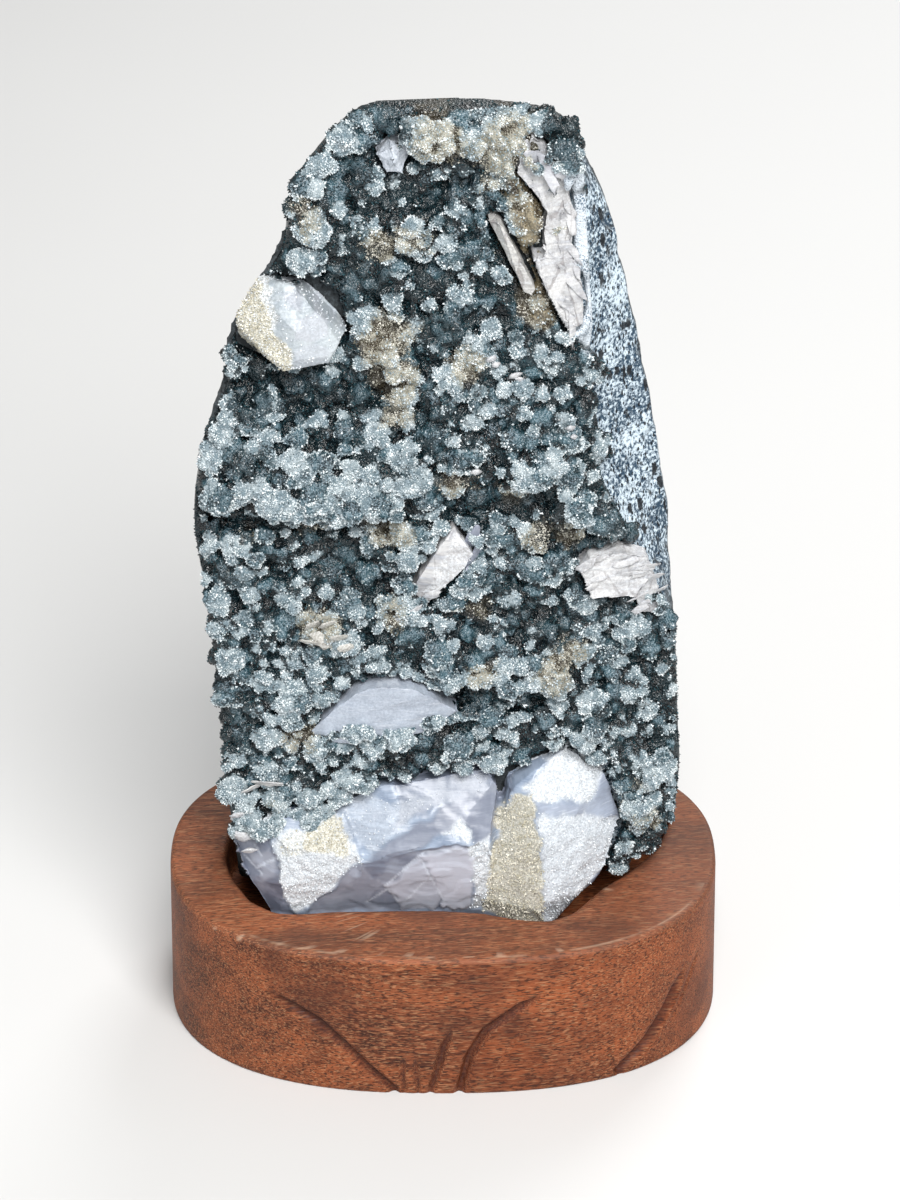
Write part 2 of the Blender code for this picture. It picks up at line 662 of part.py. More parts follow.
def main():
    clear_scene()
    make_stand()
    make_slab()
    crust = make_crust()
    crystals = {
        "calcite_base_cluster": (
            [BASE_LEFT_CRYSTAL, BASE_MIDDLE_CRYSTAL, BASE_RIGHT_CRYSTAL], "calcite_lavender",
        ),
        "calcite_left": ([CALCITE_LEFT_ROCK], "calcite_white"),
        "calcite_lens_blade": ([LENS_BLADE], "calcite_lavender"),
        "calcite_middle_blade": ([MIDDLE_BLADE], "calcite_seam"),
        "calcite_upper_seam": (
            [UPPER_SEAM_TOP, UPPER_SEAM_MIDDLE, UPPER_SEAM_FOOT], "calcite_seam",
        ),
        "calcite_upper_blade": ([UPPER_BLADE], "calcite_seam"),
        "calcite_lower_seam": ([LOWER_SEAM_LEFT, LOWER_SEAM_RIGHT], "calcite_seam"),
        "calcite_knob": ([LAVENDER_KNOB], "calcite_lavender"),
    }
    for name, (solids, material_name) in crystals.items():
        make_crystal(name, solids, material_name, crust)


main()
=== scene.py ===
# %% [markdown]
# # Calcite with quartz on a carved stand
# A slab of basalt stands in a hardwood base. Its front is a crust of quartz lumps under
# a sugar of tiny points, with calcite crystals grown into it. The solid model gives every
# piece its size and place. This script grows the fine surfaces on those solids.

# %% Load the solids
import json
import math
import random

import bmesh
import bpy
import numpy as np
from mathutils import Matrix, Vector, bvhtree, kdtree, noise

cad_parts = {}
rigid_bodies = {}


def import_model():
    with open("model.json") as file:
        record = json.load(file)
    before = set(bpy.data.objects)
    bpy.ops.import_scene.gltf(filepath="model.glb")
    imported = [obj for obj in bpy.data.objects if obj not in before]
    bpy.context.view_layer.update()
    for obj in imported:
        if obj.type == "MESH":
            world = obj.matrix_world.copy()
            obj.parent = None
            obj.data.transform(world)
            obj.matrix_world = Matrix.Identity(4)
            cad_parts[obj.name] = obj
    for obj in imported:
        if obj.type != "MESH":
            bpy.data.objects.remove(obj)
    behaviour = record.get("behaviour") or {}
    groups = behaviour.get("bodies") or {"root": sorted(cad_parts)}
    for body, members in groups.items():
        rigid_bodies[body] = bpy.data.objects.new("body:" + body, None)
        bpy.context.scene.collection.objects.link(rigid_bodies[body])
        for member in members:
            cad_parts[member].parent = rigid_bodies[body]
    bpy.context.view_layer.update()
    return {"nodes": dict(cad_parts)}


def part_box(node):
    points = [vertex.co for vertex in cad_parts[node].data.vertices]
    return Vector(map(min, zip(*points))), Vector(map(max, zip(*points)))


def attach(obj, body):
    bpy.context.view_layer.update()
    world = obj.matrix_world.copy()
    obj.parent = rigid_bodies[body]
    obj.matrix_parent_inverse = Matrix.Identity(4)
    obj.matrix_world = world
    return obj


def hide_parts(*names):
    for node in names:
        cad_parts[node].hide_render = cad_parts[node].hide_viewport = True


for start_up in list(bpy.data.objects):
    bpy.data.objects.remove(start_up, do_unlink=True)
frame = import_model()
MM = 0.001
print("solids:", sorted(frame["nodes"]))

# %% [markdown]
# The camera stands a little to the left of the front and looks down steeply through a
# long lens, so the stand's oval top shows and upright lines hardly converge. Its place
# is given as azimuth, elevation and distance from a point on the slab.

# %% Camera
AZIMUTH = math.radians(-5.0)
ELEVATION = math.radians(32.0)
CAMERA_DISTANCE = 1.4
LOOK_AT = Vector((0.0056, 0.0390, 0.1167))
LENS = 135.1

towards = Vector((
    math.sin(AZIMUTH) * math.cos(ELEVATION),
    -math.cos(AZIMUTH) * math.cos(ELEVATION),
    math.sin(ELEVATION),
))
rightwards = Vector((math.cos(AZIMUTH), math.sin(AZIMUTH), 0.0))
upwards = towards.cross(rightwards)
camera_data = bpy.data.cameras.new("camera")
camera_data.lens = LENS
camera_data.clip_end = 50.0
camera = bpy.data.objects.new("camera", camera_data)
turn = Matrix((rightwards, upwards, towards)).transposed()
camera.matrix_world = Matrix.Translation(LOOK_AT + towards * CAMERA_DISTANCE) @ turn.to_4x4()
bpy.context.scene.collection.objects.link(camera)
bpy.context.scene.camera = camera
print("camera at", [round(c, 3) for c in camera.matrix_world.translation])

# %% [markdown]
# The light is a large soft key from above the front, a weaker fill from the left, a rim
# light from behind and a pale surround. Small deep hollows then go nearly black while
# raised grains stay bright, which is what makes a crust of crystals readable.

# %% Lights, surround and floor
def area_light(name, place, target, size, power, colour):
    """A square lamp at a place, turned towards a target."""
    data = bpy.data.lights.new(name, "AREA")
    data.size = size
    data.energy = power
    data.color = colour
    lamp = bpy.data.objects.new(name, data)
    lamp.location = place
    lamp.rotation_euler = (Vector(target) - Vector(place)).to_track_quat("-Z", "Y").to_euler()
    bpy.context.scene.collection.objects.link(lamp)


MIDDLE = (0.0, 0.0, 0.17)
area_light("key", (0.2, -0.98, 1.32), MIDDLE, 0.75, 33.0, (1.0, 0.985, 0.965))
area_light("fill", (-1.1, -1.0, 0.7), MIDDLE, 0.9, 5.0, (0.92, 0.96, 1.0))
area_light("rim", (0.5, 0.9, 0.9), MIDDLE, 0.6, 8.0, (1.0, 1.0, 1.0))
world = bpy.data.worlds.new("surround")
world.use_nodes = True
background = world.node_tree.nodes["Background"]
background.inputs["Color"].default_value = (0.96, 0.97, 0.95, 1)
background.inputs["Strength"].default_value = 0.36
bpy.context.scene.world = world
bpy.context.scene.view_settings.view_transform = "Standard"

floor_mesh = bpy.data.meshes.new("floor")
FLOOR_HALF = 6.0
corners = [(-1, -1), (1, -1), (1, 1), (-1, 1)]
floor_mesh.from_pydata([(x * FLOOR_HALF, y * FLOOR_HALF, 0) for x, y in corners], [], [(0, 1, 2, 3)])
floor = bpy.data.objects.new("floor", floor_mesh)
bpy.context.scene.collection.objects.link(floor)

# %% [markdown]
# Materials are sums of masks. A small class wraps a socket so that `1 - mask * 0.5`
# adds the Math nodes itself. Everything else goes through one `node` method.

# %% Shader maths
class Num:
    """A number socket that takes part in Python expressions."""

    def __init__(self, shader, socket):
        self.shader = shader
        self.socket = socket

    def _maths(self, operation, a, b):
        return self.shader.node("ShaderNodeMath", {"operation": operation}, {0: a, 1: b})

    def __add__(self, other):
        return self._maths("ADD", self, other)

    def __sub__(self, other):
        return self._maths("SUBTRACT", self, other)

    def __rsub__(self, other):
        return self._maths("SUBTRACT", other, self)

    def __mul__(self, other):
        return self._maths("MULTIPLY", self, other)

    __radd__ = __add__
    __rmul__ = __mul__

    def step(self, low, high):
        """0 below low, 1 above high, smooth between; low may be above high."""
        settings = {"interpolation_type": "SMOOTHSTEP"}
        flip = low > high
        first, last = (high, low) if flip else (low, high)
        inputs = {"Value": self, "From Min": first, "From Max": last}
        out = self.shader.node("ShaderNodeMapRange", settings, inputs)
        return 1.0 - out if flip else out

    def most(self, other):
        return self._maths("MAXIMUM", self, other)

    def least(self, other):
        return self._maths("MINIMUM", self, other)


class Shader:
    """One material and the few kinds of node that it is built from."""

    def __init__(self, name):
        self.material = bpy.data.materials.new(name)
        self.material.use_nodes = True
        self.tree = self.material.node_tree
        self.principled = self.tree.nodes["Principled BSDF"]
        self.place = self.node("ShaderNodeTexCoord", {}, {}, "Object").socket

    def node(self, kind, settings, inputs, output=0):
        """Add a node: its settings first, then its socket values or links."""
        made = self.tree.nodes.new(kind)
        for key, value in settings.items():
            setattr(made, key, value)
        for key, value in inputs.items():
            socket = made.inputs[key]
            if isinstance(value, Num):
                value = value.socket
            if isinstance(value, bpy.types.NodeSocket):
                self.tree.links.new(value, socket)
            else:
                socket.default_value = value
        return Num(self, made.outputs[output])

    def scaled(self, scale, turn=(0, 0, 0)):
        """Object coordinates stretched and turned by a Mapping node."""
        inputs = {"Vector": self.place, "Scale": scale, "Rotation": turn}
        return self.node("ShaderNodeMapping", {}, inputs).socket

    def noise(self, scale, detail=2.0, rough=0.5, vector=None, warp=0.0):
        inputs = {"Vector": vector or self.place, "Scale": scale, "Detail": detail}
        inputs.update({"Roughness": rough, "Distortion": warp})
        return self.node("ShaderNodeTexNoise", {}, inputs)

    def cells(self, scale, feature="F1", vector=None):
        inputs = {"Vector": vector or self.place, "Scale": scale}
        return self.node("ShaderNodeTexVoronoi", {"feature": feature}, inputs, "Distance")

    def attribute(self, name):
        """A number stored on the mesh's points."""
        return self.node("ShaderNodeAttribute", {"attribute_name": name}, {}, "Fac")

    def mix(self, factor, a, b):
        """Mix two colours, given as tuples or as results of mix."""
        made = self.tree.nodes.new("ShaderNodeMix")
        made.data_type = "RGBA"
        pairs = zip((made.inputs[0], made.inputs[6], made.inputs[7]), (factor, a, b))
        for socket, value in pairs:
            if isinstance(value, Num):
                value = value.socket
            if isinstance(value, bpy.types.NodeSocket):
                self.tree.links.new(value, socket)
            elif isinstance(value, tuple):
                socket.default_value = (*value, 1.0)
            else:
                socket.default_value = value
        return Num(self, made.outputs[2])

    def bump(self, height, distance, strength=1.0):
        inputs = {"Height": height, "Distance": distance, "Strength": strength}
        return self.node("ShaderNodeBump", {}, inputs)

    def finish(self, colour, roughness, normal=None, **fixed):
        """Feed the shader: what varies by link, what is fixed on its own sockets."""
        for key, value in (("Base Color", colour), ("Roughness", roughness), ("Normal", normal)):
            if isinstance(value, Num):
                self.tree.links.new(value.socket, self.principled.inputs[key])
            elif value is not None:
                self.principled.inputs[key].default_value = value
        for key, value in fixed.items():
            self.principled.inputs[key.replace("_", " ")].default_value = value
        return self.material


def rgb(red, green, blue):
    """A colour seen on screen, 0 to 255, as the linear numbers that light uses."""
    return tuple((c / 255 / 12.92 if c < 10 else ((c / 255 + 0.055) / 1.055) ** 2.4)
                 for c in (red, green, blue))


def floor_material():
    s = Shader("pale_floor")
    soft = s.noise(3.0, 3.0)
    colour = s.mix(soft, rgb(209, 209, 209), rgb(214, 214, 214))
    return s.finish(colour, 0.6)


floor.data.materials.append(floor_material())
print("first material:", floor.data.materials[0].name)

# %% [markdown]
# The pieces start as copies of the solids. A solid arrives as loose triangles, so a copy
# is welded first. A voxel remesh then turns it into an even skin that can be displaced.

# %% Mesh helpers
def new_object(name, mesh):
    obj = bpy.data.objects.new(name, mesh)
    bpy.context.scene.collection.objects.link(obj)
    return obj


def welded(node):
    """A bmesh of a solid with its loose triangles joined."""
    bm = bmesh.new()
    bm.from_mesh(frame["nodes"][node].data)
    bmesh.ops.remove_doubles(bm, verts=bm.verts, dist=1e-6)
    return bm


def with_modifier(obj, kind, **settings):
    """Add a modifier, take its result as the plain mesh and remove it."""
    modifier = obj.modifiers.new("step", kind)
    for key, value in settings.items():
        setattr(modifier, key, value)
    graph = bpy.context.evaluated_depsgraph_get()
    mesh = bpy.data.meshes.new_from_object(obj.evaluated_get(graph))
    obj.modifiers.remove(modifier)
    obj.data = mesh
    return obj


def coordinates(mesh):
    out = np.empty(len(mesh.vertices) * 3, np.float32)
    mesh.vertices.foreach_get("co", out)
    return out.reshape(-1, 3)


def normals(mesh):
    out = np.empty(len(mesh.vertices) * 3, np.float32)
    mesh.vertex_normals.foreach_get("vector", out)
    return out.reshape(-1, 3)


def move_points(mesh, points):
    mesh.vertices.foreach_set("co", np.asarray(points, np.float32).ravel())
    mesh.update()


def store(mesh, name, values):
    """Keep one number for each point on the mesh, for the materials."""
    layer = mesh.attributes.new(name, "FLOAT", "POINT")
    layer.data.foreach_set("value", np.asarray(values, np.float32))


def triangles(mesh):
    mesh.calc_loop_triangles()
    return len(mesh.loop_triangles)


def smoothstep(x, low, high):
    t = np.clip((x - low) / (high - low), 0, 1)
    return t * t * (3 - 2 * t)

# %% [markdown]
# The crust's broad shape is already in its solid: swellings, hollows and three ledges.
# Real quartz of this kind grows as balls on balls, like cauliflower. So large and small
# lumps are set on the solid's surface, knobs on each lump, and a voxel remesh melts them
# all into one skin. A remesh is used because it keeps true overhangs, which pushing the
# points of a flat grid can't make.

# %% Where the crust's surface lies
crust_bm = welded("quartz_crust")
crust_tree = bvhtree.BVHTree.FromBMesh(crust_bm)
crust_low, crust_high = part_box("quartz_crust")
FACE_FOOT_Y = -17.6
FACE_LEAN = 0.0578
STAND_HEIGHT = 50.0


def face_y(z):
    """Depth of the slab's front plane at height z, in millimetres."""
    return FACE_FOOT_Y + FACE_LEAN * (z - STAND_HEIGHT)


RAY_START = -0.3


def front_y(tree, x, z):
    """Depth in millimetres of the first surface behind a place, or None."""
    hit = tree.ray_cast(Vector((x * MM, RAY_START, z * MM)), Vector((0, 1, 0)))[0]
    return None if hit is None else hit.y / MM


# Outlines of x and z. The druse also grows over the lens blade's foot and the left base
# crystal's shoulder, and it leaves the strip beside the upper seam bare.
OVERGROWN = [
    [(-46, 109), (-40, 107), (-33, 110), (-26, 113), (-15, 110), (-9, 114), (-3, 115), (2, 115),
     (4, 99), (-45, 96)],
    [(-67, 87), (-65, 79), (-61, 74), (-57, 75), (-53, 78), (-48, 80), (-46, 79), (-40, 79), (-36, 82),
     (-32, 84), (-32, 93), (-64, 95)],
]
BARE_STRIP = [(33, 293), (45, 290), (58, 232), (40, 230), (37, 240), (37, 262), (33, 282)]


def within(x, z, outline):
    """Whether a place lies inside an outline."""
    inside = False
    for (ax, az), (bx, bz) in zip(outline, outline[1:] + outline[:1]):
        if (az > z) != (bz > z) and x < ax + (z - az) * (bx - ax) / (bz - az):
            inside = not inside
    return inside


CRYSTAL_NODES = sorted(name for name in frame["nodes"] if name.startswith("calcite"))
crystal_trees = []
for name in CRYSTAL_NODES:
    crystal_bm = welded(name)
    crystal_trees.append(bvhtree.BVHTree.FromBMesh(crystal_bm))
    crystal_bm.free()


def clear_of_crystals(place, radius):
    """Whether a ball of millimetres at a place leaves every crystal bare."""
    if any(within(place.x, place.z, outline) for outline in OVERGROWN):
        return True
    for tree in crystal_trees:
        if tree.find_nearest(place * MM, radius * MM)[0] is not None:
            return False
    return True


def surface_out(x, z):
    """How far the crust stands out, or a crystal where the druse covers it."""
    overgrown = any(within(x, z, outline) for outline in OVERGROWN)
    trees = [crust_tree] + (crystal_trees if overgrown else [])
    depths = [front_y(tree, x, z) for tree in trees]
    outs = [face_y(z) - y for y in depths if y is not None]
    return max(outs) if outs and not within(x, z, BARE_STRIP) else None


LARGE_SPACING = 8.2
LARGE_SIZES = (3.0, 4.9)
SMALL_SPACING = 3.7
SMALL_SIZES = (1.6, 3.0)
CLEAR_SHARE = 0.8


def scattered(rng, spacing, tries, taken):
    """Seeded places on the crust: apart by the spacing, and clear of larger lumps."""
    cell = {}
    out = []
    for _ in range(tries):
        x = rng.uniform(crust_low.x, crust_high.x) / MM
        z = rng.uniform(crust_low.z, crust_high.z) / MM
        key = (int(x // spacing), int(z // spacing))
        near = [cell.get((key[0] + a, key[1] + b), []) for a in (-1, 0, 1) for b in (-1, 0, 1)]
        if any((x - p) ** 2 + (z - q) ** 2 < spacing ** 2 for group in near for p, q in group):
            continue
        if any((x - p) ** 2 + (z - q) ** 2 < (CLEAR_SHARE * size) ** 2 for p, q, _, size in taken):
            continue
        stand_out = surface_out(x, z)
        if stand_out is None:
            continue
        cell.setdefault(key, []).append((x, z))
        out.append((x, z, stand_out))
    return out


rng = random.Random(3)
large = [(*place, rng.uniform(*LARGE_SIZES)) for place in scattered(rng, LARGE_SPACING, 4000, [])]
small = [(*place, rng.uniform(*SMALL_SIZES)) for place in scattered(rng, SMALL_SPACING, 18000, large)]
lumps = large + small
print("lumps:", len(large), "large and", len(small), "small")

# %% [markdown]
# Each lump is a ball sunk by about half in the surface, and carries a cap of knobs placed
# by the golden angle with some jitter. Balls that would reach a crystal or pass the
# crust's own box are left out, so that crystals stay bare and the piece keeps its size.

# %% Balls on balls
def ball(subdivisions):
    """Points and triangles of a ball of radius 1."""
    bm = bmesh.new()
    bmesh.ops.create_icosphere(bm, subdivisions=subdivisions, radius=1.0)
    points = np.array([v.co for v in bm.verts])
    faces = np.array([[v.index for v in f.verts] for f in bm.faces])
    bm.free()
    return points, faces


GOLDEN_ANGLE = 2.39996
LIFTS = (-2.2, 0.8)
KNOB_SHARES = (0.22, 0.4)
KNOB_LEAST = 0.25
JITTER = 0.22


def lump_balls(rng, x, z, stand_out, size):
    """Centres and radii of a lump and its knobs, in millimetres."""
    lift = rng.uniform(*LIFTS)
    centre = Vector((x, face_y(z) - max(stand_out - 0.5 * size + lift, 0.4), z))
    balls = [(centre, size)]
    count = int(8 + 2.4 * size + rng.randrange(4))
    spin = rng.uniform(0, math.tau)
    for k in range(count):
        depth = (k + 0.5) / count
        angle = spin + k * GOLDEN_ANGLE
        flat = math.sqrt(1 - (1 - depth) ** 2)
        side = Vector((flat * math.cos(angle), -(1 - depth), flat * math.sin(angle)))
        side += Vector([rng.uniform(-JITTER, JITTER) for _ in range(3)])
        knob = rng.uniform(*KNOB_SHARES) * size + KNOB_LEAST
        balls.append((centre + side * (size * rng.uniform(0.75, 1.0)), knob))
    return balls


EDGE_MARGIN = 1.0
TOP_MARGIN = 1.0
MOST_BEHIND = 3.5
CRYSTAL_GAP = 0.2


def in_bounds(centre, radius):
    """Whether a ball stays in the crust's box and not far behind its plane."""
    inside = crust_low.x / MM + EDGE_MARGIN < centre.x - radius
    inside &= centre.x + radius < crust_high.x / MM - EDGE_MARGIN
    inside &= centre.z + radius < crust_high.z / MM - TOP_MARGIN
    return inside and centre.y + radius < face_y(centre.z) + MOST_BEHIND


balls = []
lump_centres = []
for x, z, stand_out, size in lumps:
    group = lump_balls(rng, x, z, stand_out, size)
    lump_centres.append(group[0][0])
    for centre, radius in group:
        centre.z = min(centre.z, crust_high.z / MM - TOP_MARGIN - radius - 0.01)
        if in_bounds(centre, radius) and clear_of_crystals(centre, radius + CRYSTAL_GAP):
            balls.append((centre, radius))
unit_points, unit_faces = ball(2)
centres = np.array([c for c, _ in balls])
radii = np.array([r for _, r in balls])
points = (unit_points[None] * radii[:, None, None] + centres[:, None]).reshape(-1, 3) * MM
offsets = np.arange(len(balls)) * len(unit_points)
faces = (unit_faces[None] + offsets[:, None, None]).reshape(-1, 3)
print("balls:", len(balls), "triangles before the remesh:", len(faces))

# %% [markdown]
# The solid itself, sunk by two millimetres at the front, goes into the same mesh so that
# the balls have a sheet to stand on. Its back reaches a little into the slab, as the real
# crust has grown onto it without a gap. After the remesh a collapse thins the flat back,
# which costs nothing to look at, and brings the piece under its share of triangles.

# %% Melt the balls into one crust
SINK = 2.2
ROOTED = 1.8
TOP_SINK = 1.2
FRONT_FROM = 0.5
CRUST_VOXEL = 0.62
CRUST_TRIANGLES = 175000
solid_points = np.array([v.co for v in crust_bm.verts])
plane = np.array([face_y(z / MM) * MM for z in solid_points[:, 2]])
stands = plane - solid_points[:, 1]
sunk = plane - np.clip(stands - SINK * MM, 0, None)
solid_points[:, 1] = np.where(stands > FRONT_FROM * MM, sunk, plane + ROOTED * MM)
solid_points[:, 2] = np.minimum(solid_points[:, 2], crust_high.z - TOP_SINK * MM)
solid_faces = [[v.index + len(points) for v in f.verts] for f in crust_bm.faces]
raw = bpy.data.meshes.new("quartz_crust_skin")
raw.from_pydata(np.vstack([points, solid_points]).tolist(), [], faces.tolist() + solid_faces)
crust = new_object("quartz_crust_skin", raw)
with_modifier(crust, "REMESH", mode="VOXEL", voxel_size=CRUST_VOXEL * MM)
print("after the remesh:", triangles(crust.data))
if triangles(crust.data) > CRUST_TRIANGLES:
    share = CRUST_TRIANGLES / triangles(crust.data)
    with_modifier(crust, "DECIMATE", ratio=share, use_collapse_triangulate=True)
print("crust:", triangles(crust.data), "triangles")

# %% [markdown]
# What a place on the crust looks like depends on how it lies. Tops are frosted white by
# their sugar and lighter, and hollows show bare dark chalcedony, made darker still with
# painted shade. The height of each point over its surroundings, read from a map of the
# crust, tells one from the other.

# %% Height over the surroundings
def blurred(grid, weight, steps):
    """A grid averaged over about the given number of cells, empty cells left out."""
    reach = np.arange(-2 * steps, 2 * steps + 1)
    kernel = np.exp(-((reach / steps) ** 2))
    for axis in (0, 1):
        grid = np.apply_along_axis(np.convolve, axis, grid, kernel, "same")
        weight = np.apply_along_axis(np.convolve, axis, weight, kernel, "same")
    return grid / np.maximum(weight, 1e-6)


MAP_CELL = 0.8
MAP_LEFT = 80
MAP_FOOT = 30
MAP_FRONT = 1.0


def height_over(points, cells_wide):
    """Each point's stand-out less the mean of the crust about it, in millimetres."""
    across = ((points[:, 0] / MM + MAP_LEFT) / MAP_CELL).astype(int)
    up = ((points[:, 2] / MM - MAP_FOOT) / MAP_CELL).astype(int)
    out = face_y(points[:, 2] / MM) - points[:, 1] / MM
    shape = (across.max() + 2, up.max() + 2)
    front = out > MAP_FRONT
    total = np.zeros(shape)
    count = np.zeros(shape)
    np.add.at(total, (across[front], up[front]), out[front])
    np.add.at(count, (across[front], up[front]), 1.0)
    return out - blurred(total, count, cells_wide)[across, up]


crust_points = coordinates(crust.data)
rise = height_over(crust_points, 9)
fine_rise = height_over(crust_points, 3)
wide_rise = height_over(crust_points, 24)
print("rise from", rise.min().round(1), "to", rise.max().round(1), "mm")

# %% [markdown]
# Some patches carry a beige dusting, others stay dark and bare, and a pocket left of the
# upper seam is rusty. They are seen on the real piece, so each is given as a place,
# a radius and a strength, and a noise breaks up its edge.

# %% Patches of the crust
# Each is x, z and radius in millimetres, and strength.
BEIGE_PATCHES = [
    (-3, 301, 9, 1.0), (17, 297, 10, 1.0), (12, 285, 6, 0.5), (-18, 238, 9, 1.0),
    (-15, 226, 8, 1.0), (-14, 215, 6, 0.6), (-20, 267, 7, 0.7), (-8, 269, 7, 0.7),
    (6, 230, 7, 0.8), (27, 268, 9, 1.2), (24, 277, 7, 1.0), (27, 246, 7, 1.2),
    (-41, 280, 8, 0.5), (-17, 176, 7, 0.8), (-40, 179, 7, 0.6), (-38, 147, 8, 0.8),
    (-16, 150, 8, 0.6), (-44, 109, 7, 0.7), (36, 172, 6, 0.9), (28, 173, 7, 0.7),
    (32, 128, 8, 0.7), (10, 128, 8, 0.5), (38, 134, 7, 0.6), (49, 165, 6, 0.5),
    (58, 73, 9, 0.5), (60, 88, 7, 0.4), (-30, 190, 10, 0.3), (2, 190, 9, 0.5),
    (-60, 178, 6, 0.4), (20, 186, 7, 0.6), (-55, 84, 8, 0.4), (8, 148, 7, 0.5),
]
DARK_PATCHES = [
    (-15, 306, 6, 1.0), (7, 290, 7, 1.0), (-2, 283, 6, 0.8), (-26, 290, 6, 0.7),
    (-24, 260, 10, 1.0), (-34, 254, 8, 1.0), (0, 240, 8, 0.9), (-57, 222, 8, 1.0),
    (-42, 221, 9, 1.0), (-27, 221, 8, 1.0), (-16, 218, 5, 0.6), (8, 183, 5, 1.0),
    (48, 172, 6, 1.0), (30, 174, 7, 0.8), (42, 168, 7, 0.9), (54, 168, 6, 0.9),
    (6, 118, 6, 1.0), (25, 117, 6, 1.0), (34, 142, 9, 0.7), (22, 160, 8, 0.6),
    (-30, 167, 8, 0.6), (-66, 165, 7, 0.7), (-60, 117, 8, 0.6), (16, 250, 8, 0.6),
    (20, 240, 7, 0.6), (-35, 302, 6, 0.5), (-50, 240, 7, 0.6), (-12, 204, 6, 0.5),
    (35, 212, 7, 0.5), (-5, 228, 5, 0.6), (-63, 150, 6, 0.5), (10, 138, 7, 0.5),
    (46, 112, 7, 0.5), (-2, 110, 6, 0.4), (34, 300, 8, 1.0), (3, 270, 6, 0.5),
    (-58, 205, 8, 0.8), (-66, 196, 6, 0.6), (50, 150, 8, 0.7), (22, 146, 7, 0.7),
    (58, 132, 7, 0.6), (40, 156, 6, 0.6), (-6, 214, 6, 0.7), (8, 222, 6, 0.6),
]
# Beside the upper seam the bare strip is bleached like the seam.
BLEACHED_PATCHES = [
    (36, 284, 5, 1), (38, 274, 6, 1), (40, 264, 6, 1), (41, 254, 6, 1), (42, 245, 6, 1), (43, 237, 6, 1),
]
# Left of the upper seam lies a pocket of brown, rusty grains.
BROWN_PATCHES = [
    (23, 266, 6, 1.0), (26, 254, 6, 1.0), (28, 243, 5, 0.9), (24, 275, 6, 1.0), (20, 283, 5, 0.8),
    (-21, 238, 5, 0.5),
]


def patch_strength(points, patches):
    out = np.zeros(len(points))
    for x, z, radius, strength in patches:
        near = ((points[:, 0] / MM - x) ** 2 + (points[:, 2] / MM - z) ** 2) / radius ** 2
        out = np.maximum(out, strength * np.exp(-near))
    return out


def noise_at(points, scale, seed=0.0):
    """Smooth noise from -1 to 1 at each point; scale is in waves a metre."""
    shift = Vector((seed, seed * 1.7, seed * 0.3))
    return np.array([noise.noise(Vector(p) * scale + shift) for p in points.tolist()])


patchy = noise_at(crust_points, 110.0) + 0.6 * noise_at(crust_points, 330.0, 4.0)
beige = smoothstep(patch_strength(crust_points, BEIGE_PATCHES) + 0.28 * patchy, 0.3, 0.62)
dark = smoothstep(patch_strength(crust_points, DARK_PATCHES) + 0.3 * patchy, 0.3, 0.7)
brown = smoothstep(patch_strength(crust_points, BROWN_PATCHES) + 0.3 * patchy, 0.3, 0.75)
bleached = smoothstep(patch_strength(crust_points, BLEACHED_PATCHES) + 0.25 * patchy, 0.3, 0.6)
print("mean beige", beige.mean().round(2), "dark", dark.mean().round(2), "brown", brown.mean().round(3))

# %% [markdown]
# Every lump also has a look of its own. Some are frosted all over, some hardly, and some
# have a bare, glassy blue top inside a frosted rim. So each point finds its lump, and the
# lump's own chance number joins the sum that decides between frost and bare chalcedony.
# The same sum darkens low places with painted shade.

# %% Frosted and bare lumps
TOPS_FACE = Vector((0.1, -0.88, 0.46))


def lump_tops(points):
    """For each point: how near it is to its lump's top, and that lump's own number."""
    tree = kdtree.KDTree(len(lump_centres))
    for index, centre in enumerate(lump_centres):
        tree.insert(centre, index)
    tree.balance()
    sizes = [size for _, _, _, size in lumps]
    top = np.zeros(len(points))
    number = np.zeros(len(points), int)
    for i, p in enumerate((points / MM).tolist()):
        place = Vector(p)
        shares = [((place - centre).length / sizes[index], index, centre)
                  for centre, index, _ in tree.find_n(place, 3)]
        _, index, centre = min(shares)
        top[i] = (place - centre).dot(TOPS_FACE) / sizes[index]
        number[i] = index
    return top, number


top_share, lump_number = lump_tops(crust_points)
lump_luck = np.random.default_rng(12).random(len(lump_centres))[lump_number]
broad = noise_at(crust_points, 42.0, 6.0)
speckle = noise_at(crust_points, 520.0, 9.0)
bare_top = smoothstep(top_share + 0.25 * speckle, 0.55, 0.95)
bare_top *= smoothstep(0.42 + 0.5 * dark - 0.45 * beige - lump_luck, -0.05, 0.15)
rim = smoothstep(top_share, 0.15, 0.45) * (1 - smoothstep(top_share, 0.7, 1.0))
crest = smoothstep(normals(crust.data)[:, 2], 0.6, 0.95) * (crust_points[:, 2] > crust_high.z - 6 * MM)
# The sum also takes each point's height over its surroundings and up-facing crests near the top, so low
# places come out darker: painted shade in the hollows.
lift = 0.5 * rise + 0.25 * wide_rise + 1.1 * fine_rise + 0.9 * patchy + 0.8 * speckle + 0.9 * crest
lift += 1.7 * broad - 1.6 * dark + 1.8 * (lump_luck - 0.47) + 0.8 * rim
frost = smoothstep(lift, 0.25, 2.05) * (1 - 0.85 * bare_top) * (1 - 0.5 * dark)
print("mean frost", frost.mean().round(2), "bare tops", bare_top.mean().round(2))

# %% [markdown]
# The masks are stored on the crust's points. The first five colour the skin. The covers
# say how densely each kind of sugar grows, and leave out the back, the bleached strip and
# the last bit under the top, so that no crystal passes the piece's box.

